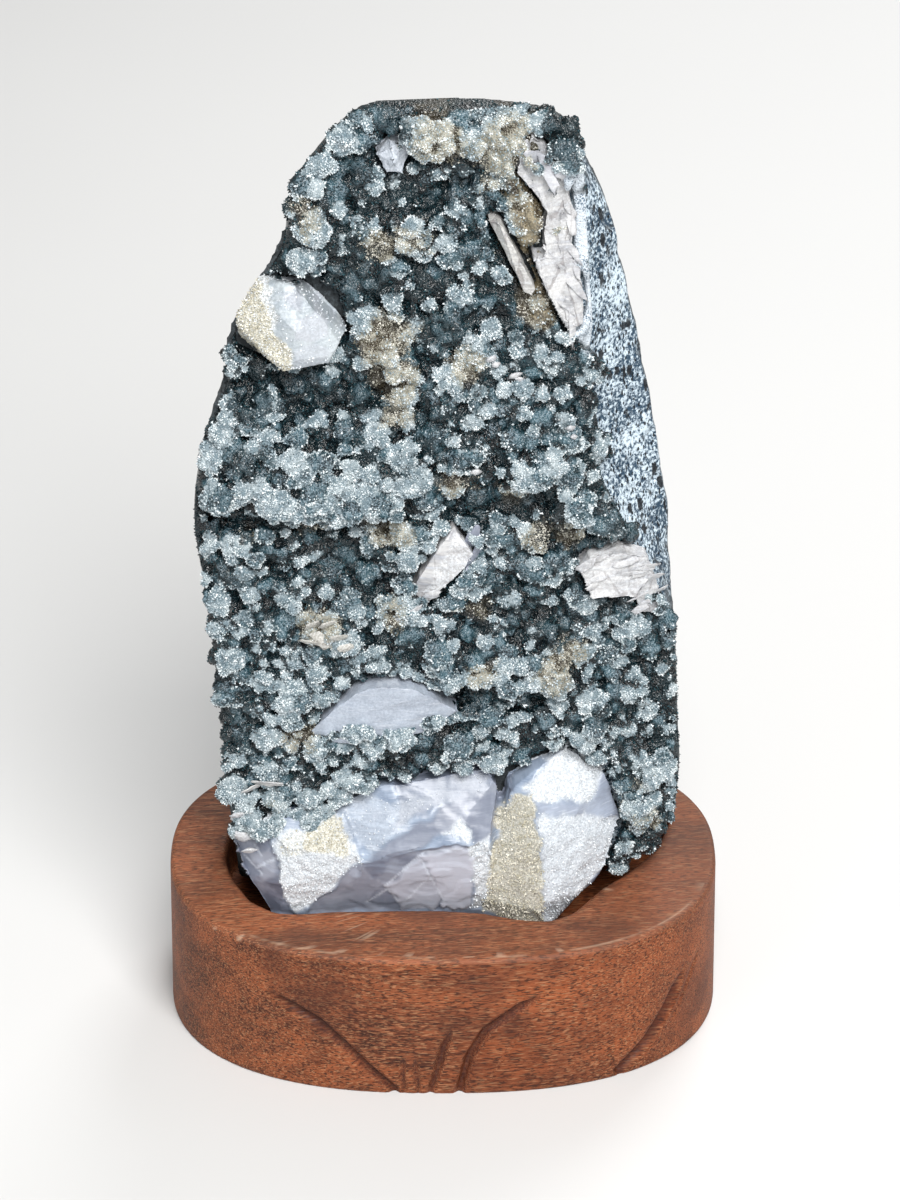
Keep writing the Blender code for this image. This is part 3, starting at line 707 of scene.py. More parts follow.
# %% Store the masks
FORWARD_FROM = 0.6
SUGAR_TOP_MARGIN = 0.9
forward = face_y(crust_points[:, 2] / MM) - crust_points[:, 1] / MM > FORWARD_FROM
store(crust.data, "beige", beige)
store(crust.data, "dark", dark)
store(crust.data, "brown", brown)
store(crust.data, "frost", frost)
store(crust.data, "bare_top", bare_top)
store(crust.data, "bleached", bleached)
cover = forward * (1 - bleached) * (crust_points[:, 2] < crust_high.z - SUGAR_TOP_MARGIN * MM)
white_cover = cover * frost * (1 - 0.5 * beige) * (1 - 0.6 * dark) * (1 - 0.8 * brown)
beige_cover = cover * beige * smoothstep(rise, -3.0, 0.0) * (1 - 0.75 * brown)
teal_cover = cover * (1 - beige) * (0.4 - 0.36 * frost) * (1 - 0.5 * bare_top)
store(crust.data, "white_cover", white_cover)
store(crust.data, "beige_cover", beige_cover)
store(crust.data, "teal_cover", teal_cover)
print("mean cover of white sugar", white_cover.mean().round(2), "teal", teal_cover.mean().round(2))

# %% [markdown]
# The skin under the sugar is chalcedony: nearly black teal in the hollows, partly its own
# colour and partly painted shade, glassy blue on bare tops with a painted sparkle of
# highlights, pale grey where it is frosted, beige or rusty in its patches. Voronoi cells
# of under a millimetre give its bump the size of the smallest crystals.

# %% Chalcedony finish
GRAIN_WAVES = 1150.0


def chalcedony_material():
    s = Shader("quartz_chalcedony")
    frost_and_hollow_shade = s.attribute("frost")
    beige_mask = s.attribute("beige")
    bare = s.attribute("bare_top")
    speck = s.cells(GRAIN_WAVES)
    grain = s.cells(GRAIN_WAVES * 1.6)
    tone = s.noise(190.0, 3.0)
    deep = s.mix(tone.step(0.35, 0.65), rgb(3, 8, 12), rgb(12, 33, 39))
    glassy = s.mix(tone.step(0.35, 0.65), rgb(12, 32, 39), rgb(56, 88, 99))
    pale = s.mix(tone.step(0.4, 0.7), rgb(102, 121, 130), rgb(164, 175, 180))
    # Low frost goes to the near-black deep tone: partly the chalcedony's own colour, partly painted shade
    # in the hollows.
    lit = (frost_and_hollow_shade + (grain - 0.35) * 0.9).step(0.25, 0.95)
    colour = s.mix(lit, deep, pale)
    colour = s.mix(bare * 0.8, colour, glassy)
    # Painted highlight: pale specks of sparkle on the bare tops.
    colour = s.mix((bare * grain).step(0.44, 0.6) * 0.4, colour, rgb(140, 160, 172))
    # In the beige patches the hollows go dark brown: painted shade.
    dust_and_hollow_shade = (frost_and_hollow_shade + (grain - 0.35) * 0.8).step(0.1, 0.7)
    warm = s.mix(dust_and_hollow_shade, rgb(66, 58, 44), rgb(164, 157, 138))
    colour = s.mix(beige_mask * 0.7, colour, warm)
    rust_grain = (tone + (grain - 0.35) * 0.4).step(0.35, 0.75)
    rusty = s.mix(rust_grain, rgb(44, 36, 25), rgb(138, 126, 100))
    colour = s.mix(s.attribute("brown") * 0.85, colour, rusty)
    colour = s.mix(s.attribute("dark") * (1.0 - frost_and_hollow_shade) * 0.5, colour, rgb(8, 22, 26))
    streaks = tone + (grain - 0.35) * 0.7
    bleached_tone = s.mix(streaks.step(0.3, 0.6), rgb(84, 106, 124), rgb(204, 213, 222))
    colour = s.mix(s.attribute("bleached"), colour, bleached_tone)
    rough = 0.24 + frost_and_hollow_shade * 0.34
    height = speck * 0.6 + grain * 0.4
    return s.finish(colour, rough, s.bump(height, 0.0007, 0.8), IOR=1.54)


crust.data.materials.clear()
crust.data.materials.append(chalcedony_material())
crust.data.shade_smooth()

# %% [markdown]
# The sugar is some hundred thousand quartz points, far too many to place by hand. A
# Geometry Nodes tree spreads points over the crust at a least spacing, thinned by one
# of the stored covers, and stands a three-sided crystal on each, tilted at random.
# Each crystal has only four faces. Four runs give coarse white, fine grey, beige and
# teal sugar.

# %% The tree that grows sugar
def sugar_tree():
    tree = bpy.data.node_groups.new("quartz_sugar", "GeometryNodeTree")
    sockets = (
        ("Crust", "INPUT", "NodeSocketGeometry"), ("Cover", "INPUT", "NodeSocketString"),
        ("Spacing", "INPUT", "NodeSocketFloat"), ("Density", "INPUT", "NodeSocketFloat"),
        ("Crystal Length", "INPUT", "NodeSocketFloat"), ("Seed", "INPUT", "NodeSocketInt"),
        ("Tilt", "INPUT", "NodeSocketFloat"), ("Finish", "INPUT", "NodeSocketMaterial"),
        ("Sugar", "OUTPUT", "NodeSocketGeometry"),
    )
    for name, way, kind in sockets:
        tree.interface.new_socket(name=name, in_out=way, socket_type=kind)

    def add(kind, settings=None, **links):
        node = tree.nodes.new(kind)
        for key, value in (settings or {}).items():
            setattr(node, key, value)
        for key, value in links.items():
            socket = node.inputs[key.replace("_", " ")]
            if isinstance(value, bpy.types.NodeSocket):
                tree.links.new(value, socket)
            else:
                socket.default_value = value
        return node

    given = add("NodeGroupInput").outputs
    cover = add("GeometryNodeInputNamedAttribute", Name=given["Cover"])
    spread = add("GeometryNodeDistributePointsOnFaces", {"distribute_method": "POISSON"},
                 Mesh=given["Crust"], Distance_Min=given["Spacing"],
                 Density_Max=given["Density"], Density_Factor=cover.outputs["Attribute"],
                 Seed=given["Seed"])
    width = add("ShaderNodeMath", {"operation": "MULTIPLY"})
    tree.links.new(given["Crystal Length"], width.inputs[0])
    width.inputs[1].default_value = 0.56
    point = add("GeometryNodeMeshCone", Vertices=3, Radius_Top=0.0,
                Radius_Bottom=width.outputs[0], Depth=given["Crystal Length"])
    stand_up = add("FunctionNodeAlignRotationToVector", {"axis": "Z"},
                   Vector=spread.outputs["Normal"])
    lean = add("ShaderNodeVectorMath", {"operation": "SCALE"})
    amount = add("FunctionNodeRandomValue", {"data_type": "FLOAT_VECTOR"},
                 Seed=given["Seed"])
    amount.inputs[0].default_value = (-1.0, -1.0, -3.2)
    amount.inputs[1].default_value = (1.0, 1.0, 3.2)
    tree.links.new(amount.outputs[0], lean.inputs[0])
    tree.links.new(given["Tilt"], lean.inputs["Scale"])
    turned = add("FunctionNodeRotateRotation", {"rotation_space": "LOCAL"},
                 Rotation=stand_up.outputs[0], Rotate_By=lean.outputs[0])
    size = add("FunctionNodeRandomValue", {"data_type": "FLOAT"}, Seed=given["Seed"])
    size.inputs[2].default_value = 0.55
    size.inputs[3].default_value = 1.35
    grown = add("GeometryNodeInstanceOnPoints", Points=spread.outputs["Points"],
                Instance=point.outputs["Mesh"], Rotation=turned.outputs[0],
                Scale=size.outputs[1])
    real = add("GeometryNodeRealizeInstances", Geometry=grown.outputs["Instances"])
    finish = add("GeometryNodeSetMaterial", Geometry=real.outputs["Geometry"],
                 Material=given["Finish"])
    last = add("NodeGroupOutput")
    tree.links.new(finish.outputs["Geometry"], last.inputs["Sugar"])
    return tree


SUGAR = sugar_tree()
print("sugar tree:", len(SUGAR.nodes), "nodes")

# %% [markdown]
# A run sets the tree's named inputs on a modifier, takes the evaluated result as a plain
# mesh and drops the modifier. The grains are opaque: at half a millimetre, quartz sugar
# looks white because light bounces between its facets, and not because it is clear.

# %% Grow the sugar on the crust
def grow_sugar(name, ground, finish, cover, spacing, density, length, seed, tilt=0.9):
    """Run the tree on a piece and keep its result as a plain mesh."""
    carrier = new_object(name, ground.data)
    modifier = carrier.modifiers.new("sugar", "NODES")
    modifier.node_group = SUGAR
    values = {"Cover": cover, "Spacing": spacing * MM, "Density": density * 1e6,
              "Crystal Length": length * MM, "Seed": seed, "Tilt": tilt, "Finish": finish}
    for item in SUGAR.interface.items_tree:
        if item.name in values:
            modifier[item.identifier] = values[item.name]
    graph = bpy.context.evaluated_depsgraph_get()
    mesh = bpy.data.meshes.new_from_object(carrier.evaluated_get(graph))
    carrier.modifiers.remove(modifier)
    carrier.data = mesh
    print(name, triangles(mesh), "triangles")
    return carrier


def sugar_material(name, first, second, rough):
    """Quartz grains: two tones by patches, glinting facets."""
    s = Shader(name)
    tone = s.noise(420.0, 2.0)
    colour = s.mix(tone.step(0.35, 0.65), first, second)
    return s.finish(colour, rough, IOR=1.54)


WHITE_SUGAR = sugar_material("white_sugar", rgb(152, 168, 177), rgb(236, 242, 245), 0.55)
GREY_SUGAR = sugar_material("grey_sugar", rgb(112, 131, 140), rgb(192, 202, 204), 0.5)
BEIGE_SUGAR = sugar_material("beige_sugar", rgb(122, 119, 105), rgb(206, 204, 194), 0.5)
TEAL_SUGAR = sugar_material("teal_sugar", rgb(8, 22, 28), rgb(50, 80, 88), 0.3)
sugars = [
    grow_sugar("white_sugar_coarse", crust, WHITE_SUGAR, "white_cover", 0.45, 3.4, 0.62, 1, 0.8),
    grow_sugar("grey_sugar_fine", crust, GREY_SUGAR, "white_cover", 0.36, 5.2, 0.45, 4, 0.7),
    grow_sugar("beige_sugar", crust, BEIGE_SUGAR, "beige_cover", 0.42, 5.0, 0.55, 2),
    grow_sugar("teal_sugar", crust, TEAL_SUGAR, "teal_cover", 0.5, 2.6, 0.6, 3),
]

# %% [markdown]
# The slab is basalt: a rock that froze full of gas bubbles. The cut face beside the
# crust shows them as small black pits, longer than wide because the lava was moving. The
# skin of the solid is remeshed evenly and roughened inwards, so that it keeps its size.
# The broken back gets broader waves as well.

# %% Slab of basalt
def skin(node, name, voxel, most_triangles):
    """An even skin of a solid, ready to be displaced."""
    mesh = bpy.data.meshes.new(name)
    bm = welded(node)
    bm.to_mesh(mesh)
    bm.free()
    obj = with_modifier(new_object(name, mesh), "REMESH", mode="VOXEL", voxel_size=voxel * MM)
    count = triangles(obj.data)
    if count > most_triangles:
        with_modifier(obj, "DECIMATE", ratio=most_triangles / count)
    obj.data.shade_smooth()
    print(name, count, "->", triangles(obj.data), "triangles")
    return obj


def roughened(obj, layers, share=1.0):
    """Move points inwards by noise layers of waves a metre and depth in mm."""
    points = coordinates(obj.data)
    outwards = normals(obj.data)
    depth = np.zeros(len(points))
    for number, (waves, layer_depth) in enumerate(layers):
        depth += layer_depth * (0.5 + 0.5 * noise_at(points, waves, 3.1 * number + 0.7))
    move_points(obj.data, points - outwards * (depth * share * MM)[:, None])


slab = skin("basalt_slab", "basalt_body", 1.5, 56000)
slab_normals = normals(slab.data)
slab_points = coordinates(slab.data) / MM
cut_face = smoothstep(-slab_normals[:, 1] + 0.5 * slab_normals[:, 0], 0.55, 0.85)
cut_face *= smoothstep(slab_points[:, 0], 30, 42)
roughened(slab, [(160, 0.7), (420, 0.5)])
roughened(slab, [(55, 1.6)], slab_normals[:, 1] > 0.5)
store(slab.data, "cut_face", cut_face)
print("mean cut face", cut_face.mean().round(2))

# %% [markdown]
# Bubbles make the basalt's finish: small round ones, a few large ones and ragged hollows,
# each a step on cell distance or noise. Their near-black is painted shade in holes that are
# only bumped. On the cut face the rock between them is pale and bluish, its own ground tone
# with a painted sheen, and elsewhere it is dull, with brownish and darker stains.

# %% Basalt finish
def basalt_material():
    s = Shader("vesicular_basalt")
    cut = s.attribute("cut_face")
    grain = s.noise(900.0, 3.0, 0.7)
    cloud = s.noise(70.0, 3.0, 0.6)
    stain = s.noise(22.0, 3.0, 0.6)
    long_pits = s.scaled((1.0, 1.0, 0.55), (0.0, math.radians(-14), 0.0))
    wobble = s.noise(1500.0, 2.0)
    small = (s.cells(760.0, vector=long_pits) + wobble * 0.35).step(0.46, 0.38)
    large = (s.cells(230.0, vector=long_pits) + wobble * 0.25).step(0.44, 0.36)
    few = s.noise(130.0, 1.0).step(0.46, 0.56)
    hollows = s.noise(300.0, 2.0, 0.5, long_pits, 0.8).step(0.33, 0.28)
    pits = small.most(large * few).most(hollows).least(1.0)
    body = s.mix(cloud, rgb(34, 38, 41), rgb(74, 80, 84))
    body = s.mix(stain.step(0.5, 0.72) * 0.5, body, rgb(84, 76, 64))
    body = s.mix(stain.step(0.46, 0.3) * 0.5, body, rgb(24, 28, 31))
    body = s.mix(grain.step(0.45, 0.7) * 0.5, body, rgb(104, 114, 120))
    # The cut face is paler from its own ground surface and lighter still from a painted sheen.
    pale_cut_and_sheen = s.mix((grain + (cloud - 0.5) * 0.5).step(0.4, 0.62), rgb(42, 66, 86), rgb(210, 226, 238))
    colour = s.mix(cut, body, pale_cut_and_sheen)
    # The bubble holes are only bumped, so their near-black is painted shade in the holes.
    colour = s.mix(pits * (0.35 + cut * 0.6), colour, rgb(10, 14, 20))
    height = grain * 0.35 - pits
    return s.finish(colour, 0.75, s.bump(height, 0.0012, 1.0), Specular_IOR_Level=0.35)


slab.data.materials.append(basalt_material())

# %% [markdown]
# Calcite splits along flat planes, so its crystals end in steps. A step is noise cut into
# levels: flat treads with short risers between. The seams are stacks of thin plates, so
# their noise is drawn out along the seam. Large flat breaks are planes that nothing near
# a place may pass. Masks from outlines and lines tell the faces apart.

# %% Steps, breaks and masks
STEP_GRAIN = 0.05


def stepped(obj, stretch, waves, depth, levels, seed):
    """Cut flat treads into a skin: depth in mm, levels the number of treads."""
    points = coordinates(obj.data)
    outwards = normals(obj.data)
    wave = 0.5 + 0.5 * noise_at(points * np.array(stretch), waves, seed)
    level = np.floor(wave * levels)
    riser = smoothstep(wave * levels - level, 0.0, 0.3)
    height = (level + riser) / levels
    fine = noise_at(points, 900.0, seed + 5)
    move_points(obj.data, points + outwards * ((height - 1) * depth + fine * STEP_GRAIN)[:, None] * MM)


def along_and_away(x, z, start, end):
    """Share of the way from start to end, and distance from that stretch, for each place."""
    (ax, az), (bx, bz) = start, end
    squared = (bx - ax) ** 2 + (bz - az) ** 2
    along = np.clip(((x - ax) * (bx - ax) + (z - az) * (bz - az)) / squared, 0, 1)
    return along, np.hypot(x - ax - along * (bx - ax), z - az - along * (bz - az))


def polygon_mask(points, outline, soft):
    """1 inside an outline of x and z in millimetres, 0 outside, with a soft edge."""
    x = points[:, 0] / MM
    z = points[:, 2] / MM
    nearest = np.full(len(points), np.inf)
    inside = np.zeros(len(points), bool)
    for start, end in zip(outline, outline[1:] + outline[:1]):
        nearest = np.minimum(nearest, along_and_away(x, z, start, end)[1])
        (ax, az), (bx, bz) = start, end
        if az != bz:
            inside ^= ((az > z) != (bz > z)) & (x < ax + (z - az) * (bx - ax) / (bz - az))
    return smoothstep(np.where(inside, nearest, -nearest), -soft, soft)


def chiselled(points, cuts):
    """Flat breaks: nothing near x, z stands past a plane with this direction and depth."""
    points = points.copy()
    for x, z, reach, direction, depth in cuts:
        way = np.array(direction) / np.linalg.norm(direction)
        near = np.hypot(points[:, 0] / MM - x, points[:, 2] / MM - z) < reach
        along = points @ way
        limit = along[near].max() - depth * MM
        over = near & (along > limit)
        points[over] -= np.outer(along[over] - limit, way)
    return points


def line_mask(points, lines, half_width):
    """1 on lines between two places of x and z in millimetres, 0 away from them."""
    nearest = np.full(len(points), np.inf)
    for ax, az, bx, bz in lines:
        away = along_and_away(points[:, 0] / MM, points[:, 2] / MM, (ax, az), (bx, bz))[1]
        nearest = np.minimum(nearest, away)
    return 1 - smoothstep(nearest, half_width * 0.4, half_width * 1.6)


trial = np.array([[0.0, 0.0, 0.0], [0.002, 0.0, 0.0]])
print("mask on and off a line:", line_mask(trial, [(0, -1, 0, 1)], 0.3))

# %% [markdown]
# Calcite is milky in the photo's large crystals, and lavender where it is clearer. White
# lines run along its cleavage, frosted faces are fine-grained, and buff areas are sandy.
# Inside the glassy faces the tone is painted light and shade: lighter on blocks where light
# is caught inside, darker elsewhere, so each mask picks its own tone. A little plain
# transmission at calcite's own IOR lets light into the body.

# %% Calcite finishes
def calcite_material(name, milky, deep, frosted, clear):
    """Calcite: milky body, deeper where clear, white along its cleavage, frosted parts."""
    s = Shader(name)
    frost = s.attribute("frosted")
    glassy = s.attribute("glassy")
    buff = s.attribute("buff")
    block = s.attribute("block")
    cloud = s.noise(120.0, 3.0, 0.6)
    fine = s.noise(1400.0, 2.0, 0.7)
    lines = s.noise(1.0, 4.0, 0.65, s.scaled((90.0, 90.0, 1000.0), (0.0, math.radians(34), 0.0)))
    slanted = s.scaled((1.0, 1.0, 0.4), (0.0, 0.45, 0.0))
    cracks = s.cells(90.0, "DISTANCE_TO_EDGE", slanted) + s.noise(300.0) * 0.16
    colour = s.mix((cloud * 0.5 + lines * 0.5).step(0.38, 0.6), milky, deep)
    # Painted light and shade inside glassy faces: lighter on the blocks, darker elsewhere.
    inner_light_and_shade = s.mix(block, rgb(102, 107, 124), rgb(200, 202, 214))
    inner_light_and_shade = s.mix(cloud.step(0.4, 0.7) * 0.3, inner_light_and_shade, rgb(206, 212, 226))
    colour = s.mix(glassy * 0.9, colour, inner_light_and_shade)
    veins = (lines.step(0.55, 0.66) * 0.5 * (1.0 - glassy)).most(s.attribute("vein") * 0.45)
    colour = s.mix(veins * (1.0 - frost * 0.6), colour, rgb(222, 229, 240))
    grit = fine.step(0.38, 0.62)
    colour = s.mix(frost * 0.9, colour, s.mix(grit, frosted, rgb(232, 236, 240)))
    colour = s.mix(buff * 0.85, colour, s.mix(grit, rgb(170, 163, 138), rgb(222, 217, 200)))
    colour = s.mix(s.attribute("cracked") * cracks.step(0.105, 0.085) * 0.5, colour, rgb(112, 104, 104))
    rough = 0.28 + frost * 0.34 + cloud * 0.1
    height = lines * 0.25 + fine * (frost + buff) * 0.8
    height += cracks.step(0.085, 0.11) * s.attribute("cracked") * 0.4
    return s.finish(colour, rough, s.bump(height, 0.0005, 0.7), IOR=1.6, Transmission_Weight=clear)


CLEAVED = calcite_material(
    "cleaved_calcite", rgb(156, 170, 190), rgb(118, 133, 156), rgb(194, 199, 204), 0.08)
MILKY = calcite_material(
    "milky_calcite", rgb(182, 191, 197), rgb(142, 155, 166), rgb(172, 174, 172), 0.06)
PLATY = calcite_material(
    "platy_calcite", rgb(206, 206, 207), rgb(140, 141, 148), rgb(188, 187, 188), 0.05)
print("calcite finishes:", CLEAVED.name, MILKY.name, PLATY.name)

# %% [markdown]
# The base cluster is three crystals grown together. Its frosted, buff and glassy faces
# have crisp borders on the real piece, so each is an outline of x and z in millimetres,
# with a strength. Veins are single lines. The cuts are its large flat breaks: a place, a
# reach, the direction that the break faces, and how deep it goes.

# %% Faces of the base cluster
CLUSTER_FROST = [
    ([(-54, 75), (-51, 77), (-36, 80), (-31, 75), (-28, 68), (-36, 59), (-43, 49), (-48, 49),
      (-52, 55), (-52, 66)], 1.0),
    ([(-67, 80), (-64, 87), (-54, 88), (-51, 77), (-54, 75), (-64, 71)], 0.9),
    ([(-37, 91), (-30, 94), (-20, 85), (-5, 86), (-14, 78), (-25, 70), (-31, 75), (-36, 80)], 0.3),
    ([(-10, 85), (0, 91), (10, 92), (17, 86), (6, 87), (-5, 83)], 0.15),
    ([(-3, 78), (3, 81), (6, 76), (5, 74), (2, 76)], 1.0),
    ([(6, 74), (12, 76), (13, 62), (11, 46), (6, 46), (8, 56), (6, 66)], 1.0),
    ([(25, 88), (21, 90), (29, 95), (37, 98), (43, 96), (50, 95), (50, 89), (44, 82), (33, 85),
      (26, 86)], 1.0),
    ([(26, 82), (37, 80), (54, 72), (54, 61), (41, 52), (37, 44), (29, 41)], 0.85),
]
CLUSTER_BUFF = [
    ([(19, 87), (25, 88), (25, 82), (27, 65), (29, 40), (10, 44), (12, 63), (14, 75)], 0.85),
    ([(-44, 78), (-36, 81), (-33, 80), (-31, 75), (-32, 70), (-39, 72), (-44, 73)], 0.85),
    ([(-52, 76), (-44, 78), (-44, 72), (-52, 70)], 0.35),
]
CLUSTER_GLASSY = [
    ([(-70, 76), (-64, 71), (-55, 75), (-52, 66), (-52, 55), (-47, 46), (-60, 46), (-70, 60)], 1.0),
    ([(-45, 46), (-28, 68), (-11, 72), (-2, 74), (7, 73), (7, 56), (6, 46)], 0.95),
    ([(-25, 69), (-14, 77), (3, 87), (18, 89), (15, 75), (7, 75), (3, 80), (-5, 77), (-11, 72),
      (-28, 67)], 0.9),
    ([(25, 86), (44, 82), (49, 89), (54, 72), (52, 73), (46, 74), (37, 80), (26, 82)], 0.35),
    ([(-16, 79), (-16, 97), (19, 99), (19, 88), (3, 86)], 0.7),
]
# The inner blocks that light picks out behind the clear faces, and the cracks between.
CLUSTER_LIT_BLOCKS = [
    ([(-9, 70), (3, 73), (8, 70), (7, 58), (6, 46), (-2, 47)], 0.95),
    ([(-20, 58), (-9, 69), (-3, 52), (-4, 46), (-15, 47)], 0.75),
    ([(-26, 50), (-20, 58), (-16, 50), (-18, 46)], 0.1),
    ([(-25, 69), (-14, 77), (3, 87), (18, 89), (15, 75), (3, 80), (-5, 77), (-11, 72)], 0.1),
    ([(25, 86), (44, 82), (49, 89), (54, 72), (46, 74), (37, 80), (26, 82)], 1.0),
    ([(-62, 66), (-55, 70), (-53, 64), (-57, 58)], 0.35),
    ([(-45, 46), (-28, 68), (-20, 58), (-26, 50), (-20, 46)], 0.25),
]
CLUSTER_VEINS = [
    (-9.3, 68, -2, 50), (-20, 58, -16, 50), (-20, 58, -8.5, 71), (-26, 50, -18.5, 57),
    (-14.5, 50, -7.4, 60), (-8.5, 71, 3, 72.5), (-59, 63, -53, 69), (-63, 65, -58, 61), (-60, 70, -58, 67),
]
CLUSTER_CUTS = [
    (-52, 62, 20, (-0.6, -0.75, 0.1), 2.2), (-44, 64, 16, (0.3, -0.95, 0.05), 1.5),
    (-46, 78, 18, (-0.1, -0.7, 0.7), 1.5), (38, 72, 24, (0.6, -0.75, 0.25), 2.0),
    (34, 88, 20, (0.1, -0.7, 0.7), 2.0), (22, 66, 16, (-0.45, -0.85, 0.2), 1.2),
    (42, 58, 18, (0.45, -0.8, -0.35), 1.8), (-6, 84, 22, (-0.05, -0.75, 0.65), 1.2),
]
CLUSTER_AREAS = {
    "frosted": CLUSTER_FROST, "buff": CLUSTER_BUFF, "glassy": CLUSTER_GLASSY, "block": CLUSTER_LIT_BLOCKS,
}
print("cluster areas:", {label: len(areas) for label, areas in CLUSTER_AREAS.items()})

# %% [markdown]
# The crystal at the upper left is a blunt block. Its left third is sandy, and its right
# side has clear windows. All its cuts reach the whole crystal, so a cut is only the
# direction that it faces and its depth.

# %% Faces of the left crystal
LEFT_MIDDLE = (-44, 245)
LEFT_REACH = 30
LEFT_BREAKS = [
    ((0.5, -0.8, 0.35), 2.4), ((-0.2, -0.8, 0.6), 1.8),
    ((0.7, -0.6, -0.3), 2.0), ((-0.6, -0.75, 0.05), 2.0),
    ((0.1, -0.9, -0.45), 2.0), ((0.3, -0.6, 0.75), 1.5),
    ((-0.75, -0.35, -0.55), 4.5), ((0.8, -0.3, 0.5), 3.0),
    ((0.2, 0.3, 0.93), 2.5), ((0.75, 0.0, 0.66), 4.0),
    ((0.2, -0.2, -0.95), 2.0), ((0.85, -0.25, -0.45), 2.0),
]
LEFT_CUTS = [(*LEFT_MIDDLE, LEFT_REACH, way, depth) for way, depth in LEFT_BREAKS]
LEFT_AREAS = {
    "frosted": [([(-28, 260), (-62, 262), (-64, 228), (-28, 230)], 0.25),
                ([(-55, 259), (-49, 258), (-50, 254), (-48, 251), (-50, 244), (-45, 240), (-43, 232),
                  (-48, 228), (-62, 230), (-64, 246), (-60, 256)], 1.0)],
    "buff": [([(-60, 258), (-54, 259), (-52, 252), (-51, 246), (-46, 241), (-44, 230), (-54, 227),
               (-66, 232), (-66, 246)], 0.8)],
    "glassy": [([(-48, 256), (-41, 258), (-42, 254), (-46, 253)], 0.8),
               ([(-44, 252), (-36, 252), (-34, 246), (-39, 243), (-44, 245)], 0.6),
               ([(-45, 241), (-38, 243), (-33, 240), (-36, 234), (-43, 233)], 0.35)],
    # Its blocks are painted lighter: painted light caught inside the clear faces.
    "block": [([(-44, 252), (-36, 252), (-34, 246), (-39, 243), (-44, 245)], 0.75),
              ([(-45, 241), (-38, 243), (-33, 240), (-36, 234), (-43, 233)], 1.0)],
}
print("cuts of the left crystal:", len(LEFT_CUTS))

# %% [markdown]
# A crystal starts as an even skin of its solid. The breaks come first, then the steps,
# and last the crumbled skin of frosted and buff areas, which sinks with a sum of noises.
# The masks' borders wander a little, as a real overgrowth's do.

# %% Grow the crystals
MASK_EDGE = 0.7


def masked(points, areas):
    """The strongest of several areas at each point, with wandering borders."""
    shifted = points.copy()
    for axis in (0, 2):
        shifted[:, axis] += 1.8 * MM * noise_at(points, 160.0, axis) + 0.8 * MM * noise_at(points, 600.0)
    out = np.zeros(len(points))
    for outline, strength in areas:
        out = np.maximum(out, strength * polygon_mask(shifted, outline, MASK_EDGE))
    return out


def calcite(node, name, voxel, most, cut, areas, material, cuts=(), veins=(), crumble=0.8):
    """Build one crystal: its breaks and steps, the masks of its areas and its material."""
    obj = skin(node, name, voxel, most)
    points = chiselled(coordinates(obj.data), cuts)
    move_points(obj.data, points)
    masks = {}
    for label in ("frosted", "glassy", "buff", "block", "cracked"):
        given = areas.get(label, 0.0)
        masks[label] = np.full(len(points), given) if isinstance(given, float) else masked(points, given)
    masks["vein"] = line_mask(points, veins, 0.3) if veins else np.zeros(len(points))
    stepped(obj, *cut)
    rough = np.abs(noise_at(points, 150.0, 2.0)) + 0.6 * np.abs(noise_at(points, 400.0, 5.0))
    rough += 0.3 * np.abs(noise_at(points, 950.0, 8.0))
    deep = crumble * rough * np.clip(masks["frosted"] + 0.5 * masks["buff"], 0, 1)
    deep += 0.7 * masks["glassy"] * (1 - masks["block"])
    move_points(obj.data, coordinates(obj.data) - normals(obj.data) * (deep * MM)[:, None])
    for label, values in masks.items():
        store(obj.data, label, values)
    obj.data.materials.append(material)
    return obj


crystals = {
    "calcite_base_cluster": calcite(
        "calcite_base_cluster", "cleaved_cluster", 0.55, 80000, ((1, 1, 2.2), 70, 1.3, 5, 1.0),
        CLUSTER_AREAS, CLEAVED, CLUSTER_CUTS, CLUSTER_VEINS, 1.1),
    "calcite_left": calcite(
        "calcite_left", "blocky_crystal", 0.45, 26000, ((1, 1, 1), 110, 0.5, 4, 2.0),
        LEFT_AREAS, MILKY, LEFT_CUTS),
    "calcite_lens_blade": calcite(
        "calcite_lens_blade", "lens_blade", 0.55, 10000, ((1, 1, 3), 120, 0.8, 5, 3.0),
        {"frosted": 0.35, "glassy": 0.1, "block": 0.6}, CLEAVED),
    "calcite_middle_blade": calcite(
        "calcite_middle_blade", "middle_blade", 0.45, 9000, ((1, 1, 2), 160, 0.8, 4, 4.0),
        {"frosted": [([(-6, 158), (0, 172), (3, 176), (7, 172), (8, 164), (0, 154), (-14, 146)], 0.7)],
         "glassy": [([(3, 177), (9, 178), (10, 160), (7.5, 163), (6.5, 171)], 0.8)], "block": 0.5,
         "cracked": 0.5}, PLATY, (), ((-6, 156, 4, 170), (-3, 154, 6, 166))),
    "calcite_upper_seam": calcite(
        "calcite_upper_seam", "platy_upper_seam", 0.45, 24000, ((2.2, 2, 0.8), 100, 2.0, 5, 5.0),
        {"frosted": 0.35, "buff": 0.05, "cracked": 1.0}, PLATY),
    "calcite_upper_blade": calcite(
        "calcite_upper_blade", "thin_upper_blade", 0.45, 8000, ((2, 2, 1), 140, 0.7, 4, 6.0),
        {"frosted": 0.3, "buff": 0.25, "cracked": 1.0}, PLATY),
    "calcite_lower_seam": calcite(
        "calcite_lower_seam", "platy_lower_seam", 0.45, 16000, ((1, 2, 3), 110, 1.6, 5, 7.0),
        {"frosted": 0.45, "cracked": 0.8}, PLATY),
    "calcite_knob": calcite(
        "calcite_knob", "lavender_knob", 0.45, 6000, ((1, 1, 1), 260, 1.1, 4, 8.0),
        {"frosted": 0.6, "glassy": 0.2, "block": 0.5}, CLEAVED, (), (), 1.6),
}
print("crystals:", len(crystals))

# %% [markdown]
# Frosted and buff faces carry sugar of their own, finer and sparser than the crust's. The
# same tree grows it, with the crystal's own masks as covers.

